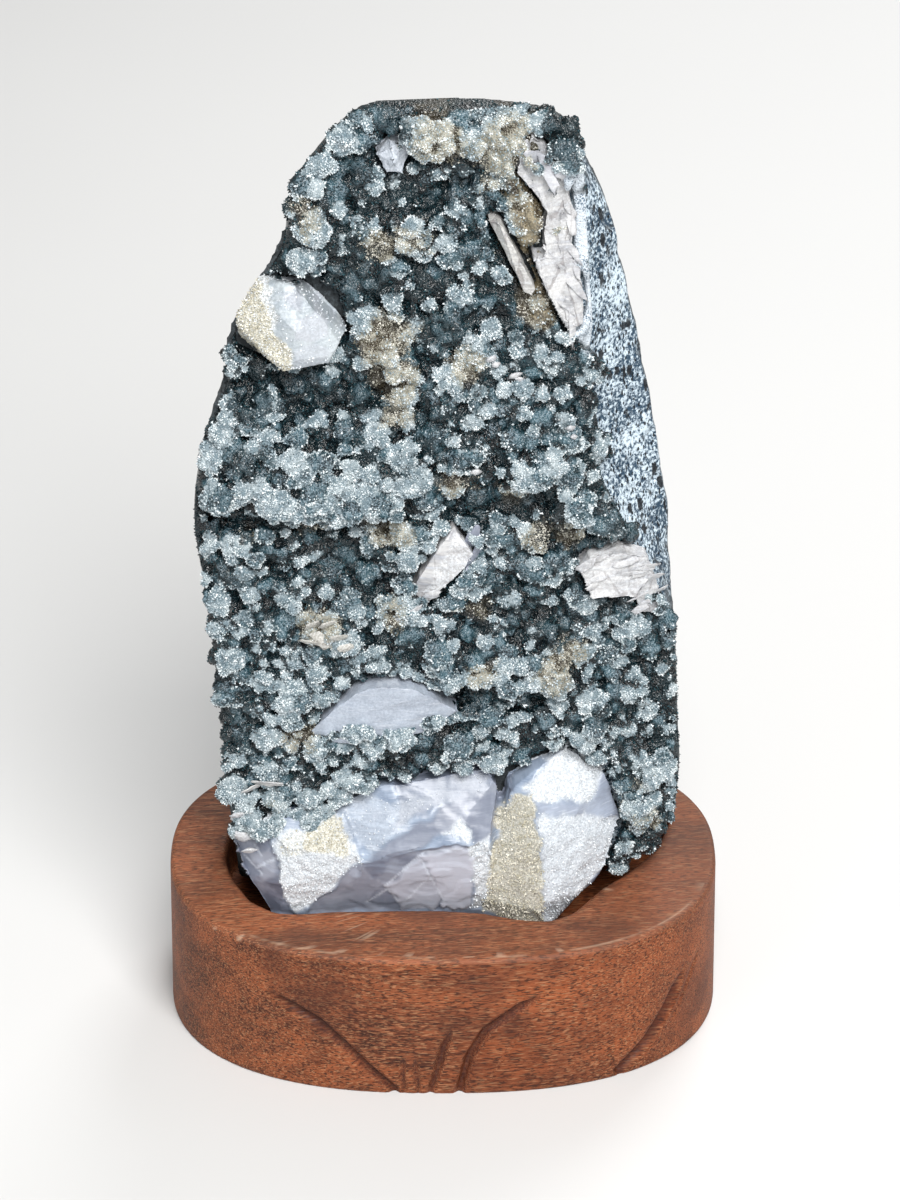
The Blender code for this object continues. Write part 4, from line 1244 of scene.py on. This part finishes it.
# %% Sugar on the crystals
FACE_SUGAR = sugar_material("face_sugar", rgb(200, 207, 214), rgb(238, 242, 245), 0.4)
SAND_SUGAR = sugar_material("sand_sugar", rgb(178, 172, 152), rgb(226, 222, 208), 0.4)
FACE_SUGARS = [
    ("white_face_sugar", "calcite_base_cluster", FACE_SUGAR, "frosted", 0.6, 1.5, 0.5, 21),
    ("sand_face_sugar", "calcite_base_cluster", SAND_SUGAR, "buff", 0.5, 3.0, 0.6, 22),
    ("left_sand_sugar", "calcite_left", SAND_SUGAR, "buff", 0.5, 3.0, 0.6, 23),
    ("left_white_sugar", "calcite_left", FACE_SUGAR, "frosted", 0.6, 1.5, 0.5, 24),
]
crystal_sugars = [
    (node, grow_sugar(name, crystals[node], finish, *numbers, 0.7))
    for name, node, finish, *numbers in FACE_SUGARS
]
print("face sugars:", len(crystal_sugars))

# %% [markdown]
# The stand is one block of hardwood, an oval a little fuller than an ellipse, with a
# recess cut to the stone's own outline. Grooves carved like blades of grass rise from its
# foot. Each is a line on the wall with a half width and a depth in millimetres.

# %% The stand's measures
STAND_HALF = (84.7, 58.7)
STAND_POWER = 2.44
STAND_TURN = math.radians(-4.6)
STAND_FLARE = 0.009
EDGE_RADIUS = 1.7
RECESS_FLOOR = 35.0
COLUMNS = 600
RECESS_OUTLINE = [
    (73, 12), (66, -5.6), (55, -17.1), (46, -24.6), (36, -36.6), (28, -40.1), (19, -38.1),
    (9, -33.6), (-3, -31.1), (-16, -30.1), (-34, -29.9), (-43, -31.1), (-52, -30.1),
    (-60.5, -22.6), (-65.5, -10.1), (-67.5, 0.4), (-66, 12), (-60, 24), (-45, 32.5),
    (-20, 36), (20, 36), (48, 32), (65, 24),
]
GROOVES = [
    ([(-60, 34), (-53, 30.5), (-43, 25), (-36, 18), (-28, 9), (-20, 1)], 1.9, 2.6),
    ([(28, 37), (18, 31.5), (8, 23.5), (3, 14), (0, 1)], 1.9, 2.6),
    ([(-2, 25), (-5, 17), (-7, 8), (-9, 1)], 1.6, 2.0),
    ([(-17, 14), (-17.6, 8), (-17, 1)], 1.1, 1.5),
    ([(-13.6, 14), (-13.4, 8), (-12.6, 1)], 1.1, 1.5),
    ([(71, 31), (66, 20), (59, 10), (50, 2)], 2.3, 2.8),
    ([(30, 35), (22, 26), (14, 15), (9, 5)], 0.8, 0.5),
    ([(76, 33), (72, 24), (67, 14)], 0.9, 0.6),
]
turns = np.arange(COLUMNS) / COLUMNS * 2 * math.pi
print("grooves:", len(GROOVES))

# %% [markdown]
# The block is one closed sheet of rings: up the wall, over a softened edge, across the
# top, down into the recess and along its floor, then under the foot. A groove is a
# V-shaped cut pressed into the wall, which runs out thin at its upper end.

# %% Rings of the stand
def oval_power(across, deep):
    """1 on the oval for shares of its half width and half depth, less inside it."""
    return (np.abs(across) ** STAND_POWER + np.abs(deep) ** STAND_POWER) ** (1 / STAND_POWER)


def oval_ring(z, inset=0.0):
    """The wall's outline at height z, drawn in by an inset."""
    share = 1 / oval_power(np.cos(turns), np.sin(turns))
    flare = 1 + STAND_FLARE * (1 - z / STAND_HEIGHT)
    x = (STAND_HALF[0] * flare - inset) * share * np.cos(turns)
    y = (STAND_HALF[1] * flare - inset) * share * np.sin(turns)
    c, s = math.cos(STAND_TURN), math.sin(STAND_TURN)
    return np.stack([x * c - y * s, x * s + y * c, np.full(COLUMNS, float(z))], 1)


def recess_ring():
    """The recess outline by direction from the centre, its corners rounded."""
    reach = np.zeros(COLUMNS)
    for (ax, ay), (bx, by) in zip(RECESS_OUTLINE, RECESS_OUTLINE[1:] + RECESS_OUTLINE[:1]):
        c, s = np.cos(turns), np.sin(turns)
        across = c * (by - ay) - s * (bx - ax)
        across = np.where(np.abs(across) < 1e-9, 1e-9, across)
        far = (ax * (by - ay) - ay * (bx - ax)) / across
        where = (ax * s - ay * c) / across
        reach = np.where((far > 0) & (where >= -1e-6) & (where <= 1 + 1e-6), np.maximum(reach, far), reach)
    for _ in range(12):
        reach = (np.roll(reach, 1) + 2 * reach + np.roll(reach, -1)) / 4
    return np.stack([reach * np.cos(turns), reach * np.sin(turns), np.zeros(COLUMNS)], 1)


def carve(ring):
    """Press the grooves into the front of one ring of the wall."""
    deep = np.zeros(COLUMNS)
    for line, half_width, depth in GROOVES:
        lengths = [math.dist(a, b) for a, b in zip(line, line[1:])]
        done = 0.0
        for start, end, length in zip(line, line[1:], lengths):
            along, away = along_and_away(ring[:, 0], ring[:, 2], start, end)
            share = (done + along * length) / sum(lengths)
            swell = np.clip(share * 5, 0.15, 1)
            cut = depth * swell * np.clip(1 - away / (half_width * swell), 0, 1)
            deep = np.where(ring[:, 1] < 0, np.maximum(deep, cut), deep)
            done += length
    flat = np.hypot(ring[:, 0], ring[:, 1])
    ring[:, :2] *= (1 - deep / flat)[:, None]
    return deep


def make_stand():
    """The stand's mesh as an object, and how deep each point lies in a groove."""
    rows = []
    groove_rows = []
    for z in [0.0, 0.5] + list(np.arange(1.5, STAND_HEIGHT - EDGE_RADIUS, 1.1)):
        ring = oval_ring(z, 0.4 if z == 0 else 0.0)
        groove_rows.append(carve(ring))
        rows.append(ring)
    for step in range(5):
        lean = step / 4 * math.pi / 2
        height = STAND_HEIGHT - EDGE_RADIUS * (1 - math.sin(lean))
        rows.append(oval_ring(height, EDGE_RADIUS * (1 - math.cos(lean))))
    edge = recess_ring()
    outer = rows[-1].copy()
    for share in (0.012, 0.04, 0.12, 0.25, 0.4, 0.55, 0.7, 0.82, 0.92, 0.97):
        ring = outer + (edge - outer) * share
        ring[:, 2] = STAND_HEIGHT - 0.9 * smoothstep(share, 0.9, 1.0)
        rows.append(ring)
    for z in (48.0, 46.5, 43.0, 38.5, RECESS_FLOOR + 0.8):
        rows.append(np.column_stack([edge[:, :2], np.full(COLUMNS, z)]))
    for share in (0.985, 0.7, 0.35):
        rows.append(np.column_stack([edge[:, :2] * share, np.full(COLUMNS, RECESS_FLOOR)]))
    foot = oval_ring(0.0, 2.0)
    points = np.concatenate([foot] + rows + [[[0, 0, RECESS_FLOOR]], [[0, 0, 0]]])
    faces = []
    for row in range(len(rows)):
        for column in range(COLUMNS):
            after = (column + 1) % COLUMNS
            a, b = row * COLUMNS + column, row * COLUMNS + after
            faces.append((a, b, b + COLUMNS, a + COLUMNS))
    last = len(rows) * COLUMNS
    top, under = len(points) - 2, len(points) - 1
    for column in range(COLUMNS):
        after = (column + 1) % COLUMNS
        faces.append((last + column, last + after, top))
        faces.append((after, column, under))
    mesh = bpy.data.meshes.new("stand_block")
    mesh.from_pydata((points * MM).tolist(), [], faces)
    grooves = np.zeros(len(points))
    carved = np.concatenate(groove_rows)
    grooves[COLUMNS:COLUMNS + len(carved)] = carved
    return new_object("stand_block", mesh), grooves


stand, groove_depth = make_stand()
print("stand:", triangles(stand.data), "triangles")

# %% [markdown]
# The stand's wear stays as the photo shows it: pale nicks along the top's front edge, a
# broken line where the rim has lost its finish, and scratches before the stone. Each
# worn place is x, y, half length and half width in millimetres.

# %% Wear of the stand
WORN = [
    (-73.4, -33.9, 1.2, 0.3), (-65, -40, 1.5, 0.3), (-53.5, -45.2, 1.4, 0.5),
    (-46, -48.2, 2.5, 0.3), (-36, -51, 2.0, 0.25), (-23.5, -53, 1.4, 0.4), (-15, -54.6, 1.5, 0.2),
    (-8.7, -56, 1.2, 0.3), (3, -57, 1.5, 0.2), (12.3, -57.3, 1.6, 0.5), (30.6, -56.2, 1.2, 0.3),
    (-32, -33, 0.35, 3.2), (-30, -38.5, 0.35, 2.6), (-25.9, -43.2, 0.9, 0.6), (-27.6, -43, 0.5, 0.3),
    (47.8, -25.2, 0.8, 0.7), (55.8, -47.8, 0.8, 0.4), (68, -38, 1.0, 0.4),
]
RIM_WORN_BEFORE = -25


def stand_masks():
    """Store the worn places, the top face and the grooves for the wood's finish."""
    points = coordinates(stand.data) / MM
    worn = np.zeros(len(points))
    ragged = 0.5 * noise_at(points * MM, 500.0)
    for x, y, length, width in WORN:
        near = ((points[:, 0] - x) / length) ** 2 + ((points[:, 1] - y) / width / 1.6) ** 2
        worn = np.maximum(worn, smoothstep(-near + ragged, -1.3, -0.5))
    c, s = math.cos(-STAND_TURN), math.sin(-STAND_TURN)
    across = (points[:, 0] * c - points[:, 1] * s) / STAND_HALF[0]
    depth = (points[:, 0] * s + points[:, 1] * c) / STAND_HALF[1]
    from_rim = np.abs((1 - oval_power(across, depth)) * STAND_HALF[1] - EDGE_RADIUS)
    rim = (1 - smoothstep(from_rim, 0.0, 0.5)) * (points[:, 1] < RIM_WORN_BEFORE)
    broken = smoothstep(noise_at(points * MM, 90.0, 3.0) + ragged, -0.3, 0.5)
    worn = np.maximum(worn * 0.55, 0.5 * rim * broken)
    worn *= points[:, 2] > STAND_HEIGHT - 2
    store(stand.data, "worn", worn)
    store(stand.data, "top_face", points[:, 2] > STAND_HEIGHT - 1.2)
    store(stand.data, "groove", smoothstep(groove_depth, 0.15, 1.3))


stand_masks()
stand.data.shade_smooth()
print("worn places:", len(WORN))

# %% [markdown]
# The wood is a reddish-brown hardwood under thin oil, with its grain along the stand.
# Rings, fibres, pores and flecks are noises drawn out along the grain. Smudges darken it
# unevenly, the top's right end is darkened with painted shade, the whole top is made a
# little lighter with painted light, the grooves are darkened with painted shade, and worn
# places are pale.

# %% Wood finish
def wood_material():
    s = Shader("oiled_hardwood")
    bend = s.noise(13.0, 2.0)
    rings = s.noise(1.0, 4.0, 0.6, s.scaled((6.0, 90.0, 90.0)), 0.7)
    fibres = s.noise(1.0, 3.0, 0.75, s.scaled((90.0, 1000.0, 1000.0)))
    pores = s.noise(1.0, 2.0, 0.6, s.scaled((420.0, 2200.0, 2200.0)))
    flecks = s.noise(1.0, 2.0, 0.5, s.scaled((240.0, 2600.0, 2600.0), (0.0, 0.03, 0.0)))
    smudges = s.noise(38.0, 3.0, 0.6)
    colour = s.mix(rings.step(0.3, 0.7), rgb(56, 23, 11), rgb(144, 76, 40))
    colour = s.mix(bend.step(0.45, 0.7) * 0.5, colour, rgb(148, 72, 30))
    colour = s.mix(fibres.step(0.4, 0.62) * 0.55, colour, rgb(162, 94, 60))
    colour = s.mix(pores.step(0.52, 0.38) * 0.85, colour, rgb(44, 20, 10))
    colour = s.mix(flecks.step(0.54, 0.66) * 0.5, colour, rgb(186, 136, 98))
    colour = s.mix(smudges.step(0.46, 0.72) * 0.6, colour, rgb(66, 32, 20))
    # Painted shade: the top's right end is darkened.
    right_end = s.node("ShaderNodeSeparateXYZ", {}, {"Vector": s.place}, "X")
    painted_right_shade = (right_end + (bend - 0.5) * 0.03).step(0.035, 0.08)
    colour = s.mix(painted_right_shade * s.attribute("top_face") * 0.45, colour, rgb(66, 34, 22))
    # Painted light: the whole top face is a little lighter.
    colour = s.mix(s.attribute("top_face") * 0.12, colour, rgb(172, 128, 106))
    # Painted shade: the grooves are darkened.
    colour = s.mix(s.attribute("groove") * 0.7, colour, rgb(58, 20, 10))
    colour = s.mix(s.attribute("worn") * 0.75, colour, rgb(206, 178, 152))
    rough = 0.5 + fibres * 0.25 - s.attribute("groove") * 0.24
    height = fibres * 0.5 + pores * 0.5
    return s.finish(colour, rough, s.bump(height, 0.0003, 0.6), Specular_IOR_Level=0.3)


stand.data.materials.append(wood_material())

# %% [markdown]
# Where the calcite seams are broken, loose plates stick out at all angles. Each plate is a
# bent disc with a ragged rim, thinner at its edge, with a seeded scatter of size and tilt.
# On a seam the plates are spread by rays onto its solid. The chips, the rosette and the
# thin blade in the crust are listed places, laid by rays onto the crust's own skin.

# %% Broken plates of calcite
PLATE_SIDES = 16
PLATE_RINGS = (0.35, 0.7, 1.0)


def plate(rng, centre, reach, long_way, lean, thick, slim):
    """Points and faces of one bent plate; slim is its length over its width, about."""
    stretch = slim * rng.uniform(0.8, 1.25)
    spin = long_way + rng.uniform(-0.4, 0.4)
    tilt = Matrix.Rotation(lean[0] + rng.uniform(-0.45, 0.45), 3, "X")
    tilt = Matrix.Rotation(lean[1] + rng.uniform(-0.45, 0.45), 3, "Z") @ tilt
    bend = rng.uniform(-0.05, 0.05)
    ragged = [rng.uniform(0.72, 1.15) for _ in range(PLATE_SIDES)]
    points = []
    for side in (-1, 1):
        for ring in PLATE_RINGS:
            for k in range(PLATE_SIDES):
                angle = k / PLATE_SIDES * math.tau
                r = reach * ring * (ragged[k] if ring == 1.0 else 1.0)
                a = r * stretch * math.cos(angle)
                b = r * math.sin(angle) / stretch * 1.4
                rough = 0.35 * noise.noise(Vector((a * 0.5, side * 3.0, b * 0.5)) + centre * 0.3)
                depth = side * thick * (1.15 - ring) + bend * a * a / reach + rough
                flat = Vector((a * math.cos(spin) - b * math.sin(spin), depth,
                               a * math.sin(spin) + b * math.cos(spin)))
                points.append(centre + tilt @ flat)
        points.append(centre + tilt @ Vector((0, side * thick, 0)))
    layer = len(PLATE_RINGS) * PLATE_SIDES + 1
    faces = []
    for k in range(PLATE_SIDES):
        after = (k + 1) % PLATE_SIDES
        for start, order in ((0, 1), (layer, -1)):
            faces.append((start + layer - 1, start + after, start + k)[::order])
            for ring in range(len(PLATE_RINGS) - 1):
                a = start + ring * PLATE_SIDES
                b = a + PLATE_SIDES
                faces.append((a + k, a + after, b + after, b + k)[::order])
        rim = (len(PLATE_RINGS) - 1) * PLATE_SIDES
        faces.append((rim + k, rim + after, layer + rim + after, layer + rim + k))
    return points, faces


crust_skin = bvhtree.BVHTree.FromPolygons(
    [v.co for v in crust.data.vertices], [tuple(p.vertices) for p in crust.data.polygons])


def plates(name, seed, places, long_way, lean, thick, material, masks, slim=1.7):
    """Many plates in one piece, at places of x, y, z and reach in millimetres."""
    rng = random.Random(seed)
    points = []
    faces = []
    for x, y, z, reach in places:
        more, rim = plate(rng, Vector((x, y, z)), reach, math.radians(long_way), lean, thick, slim)
        faces.extend(tuple(i + len(points) for i in face) for face in rim)
        points.extend(more)
    mesh = bpy.data.meshes.new(name)
    mesh.from_pydata([tuple(p * MM) for p in points], [], faces)
    bm = bmesh.new()
    bm.from_mesh(mesh)
    bmesh.ops.recalc_face_normals(bm, faces=bm.faces)
    bm.to_mesh(mesh)
    bm.free()
    obj = new_object(name, mesh)
    for label in ("frosted", "glassy", "buff", "block", "vein", "cracked"):
        store(mesh, label, np.full(len(points), masks.get(label, 0.0)))
    mesh.materials.append(material)
    mesh.shade_smooth()
    print(name, len(places), "plates,", triangles(mesh), "triangles")
    return obj


def spread_on(node, seed, count, reach, sink):
    """Seeded places on the front of a crystal's solid."""
    rng = random.Random(seed)
    tree = crystal_trees[CRYSTAL_NODES.index(node)]
    low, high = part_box(node)
    out = []
    while len(out) < count:
        x = rng.uniform(low.x, high.x) / MM
        z = rng.uniform(low.z, high.z) / MM
        y = front_y(tree, x, z)
        if y is not None:
            out.append((x, y + sink, z, reach * rng.uniform(0.6, 1.3)))
    return out


CHIP_OUT = 0.6
CRUST_ABOUT = 7.0


def on_crust(places):
    """Places of x, z, reach set just off the front of the crust's skin."""
    out = []
    for x, z, reach in places:
        skin_y = front_y(crust_skin, x, z) or face_y(z) - CRUST_ABOUT
        out.append((x, skin_y - CHIP_OUT, z, reach))
    return out


print("crust skin tree from", len(crust.data.polygons), "faces")

# %% [markdown]
# Each row of the list is one piece: the node it is listed with, then its name, seed,
# places, the way its plates lie long and lean, their thickness, finish and masks. Small
# pieces in the crust are listed with the left crystal, because they are the same calcite.

# %% Lay the plates
seam_plates = [
    ("calcite_upper_seam", plates(
        "upper_seam_plates", 31, spread_on("calcite_upper_seam", 41, 16, 2.3, 0.7), -66, (0.1, 0.3), 0.25,
        PLATY, {"frosted": 0.3, "cracked": 0.5}, 2.4)),
    ("calcite_upper_seam", plates(
        "grey_seam_blades", 35, [(25, -11.5, 294, 2.6), (29, -12.5, 289, 3.0), (34, -11, 287, 2.4)],
        -48, (0.0, 0.2), 0.5, PLATY, {"glassy": 0.35, "block": 0.7, "frosted": 0.2}, 1.9)),
    ("calcite_lower_seam", plates(
        "lower_seam_plates", 32, spread_on("calcite_lower_seam", 42, 14, 2.0, 0.5), 20, (0.2, 0.1), 0.25,
        PLATY, {"frosted": 0.4, "cracked": 0.5}, 2.2)),
    ("calcite_middle_blade", plates(
        "middle_blade_margin", 33, [(7.4, -17.6, 173, 3.0), (8.4, -17.2, 168, 3.2), (7.0, -17.6, 162, 2.8)],
        70, (0.0, 0.3), 0.6, CLEAVED, {"glassy": 0.9, "block": 0.2})),
    ("calcite_middle_blade", plates(
        "middle_blade_tail", 36, [(-10, -20.6, 151, 2.2), (-14, -20.2, 148, 1.6), (-5, -20.4, 156, 2.2)],
        42, (0.2, 0.0), 0.5, PLATY, {"frosted": 0.5})),
    ("calcite_left", plates(
        "small_white_chips", 34, on_crust([
            (12.6, 232, 1.5), (14, 230, 1.1), (8, 195.8, 1.5), (35.6, 210, 1.5), (36.4, 208, 1.0),
            (19.5, 226, 1.8), (21, 225, 1.2), (-64, 83, 2.2), (-65, 79, 1.8), (-63, 75, 2.0),
            (-61, 70, 2.0)]),
        30, (0.4, 0.0), 0.9, PLATY, {"frosted": 0.5, "block": 1.0}, 1.1)),
    ("calcite_left", plates(
        "pale_rosette", 37, on_crust([
            (-40, 148, 2.6), (-36, 149, 2.6), (-33, 145, 2.8), (-38, 144, 3.0), (-42, 144, 2.4),
            (-31, 142, 2.0)]),
        -30, (0.5, 0.1), 0.6, PLATY, {"frosted": 0.6, "buff": 0.45, "block": 1.0}, 1.25)),
    ("calcite_left", plates(
        "pale_thin_blade", 38, on_crust([(-55, 93, 3.2), (-60, 90.5, 2.6)]),
        14, (0.5, 0.1), 0.45, PLATY, {"frosted": 0.4, "buff": 0.15, "block": 1.0})),
]
print("plate pieces:", len(seam_plates))

# %% [markdown]
# Each piece now takes the place of its solid and rides on the one body.

# %% Finish
for piece, node, slot in [(crust, "quartz_crust", "quartz_crust"), (slab, "basalt_slab", "basalt"),
                          (stand, "wooden_stand", "stand_wood")]:
    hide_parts(node)
    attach(piece, "root")
for node, piece in crystals.items():
    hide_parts(node)
    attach(piece, "root")
for piece in sugars:
    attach(piece, "root")
for node, piece in crystal_sugars + seam_plates:
    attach(piece, "root")
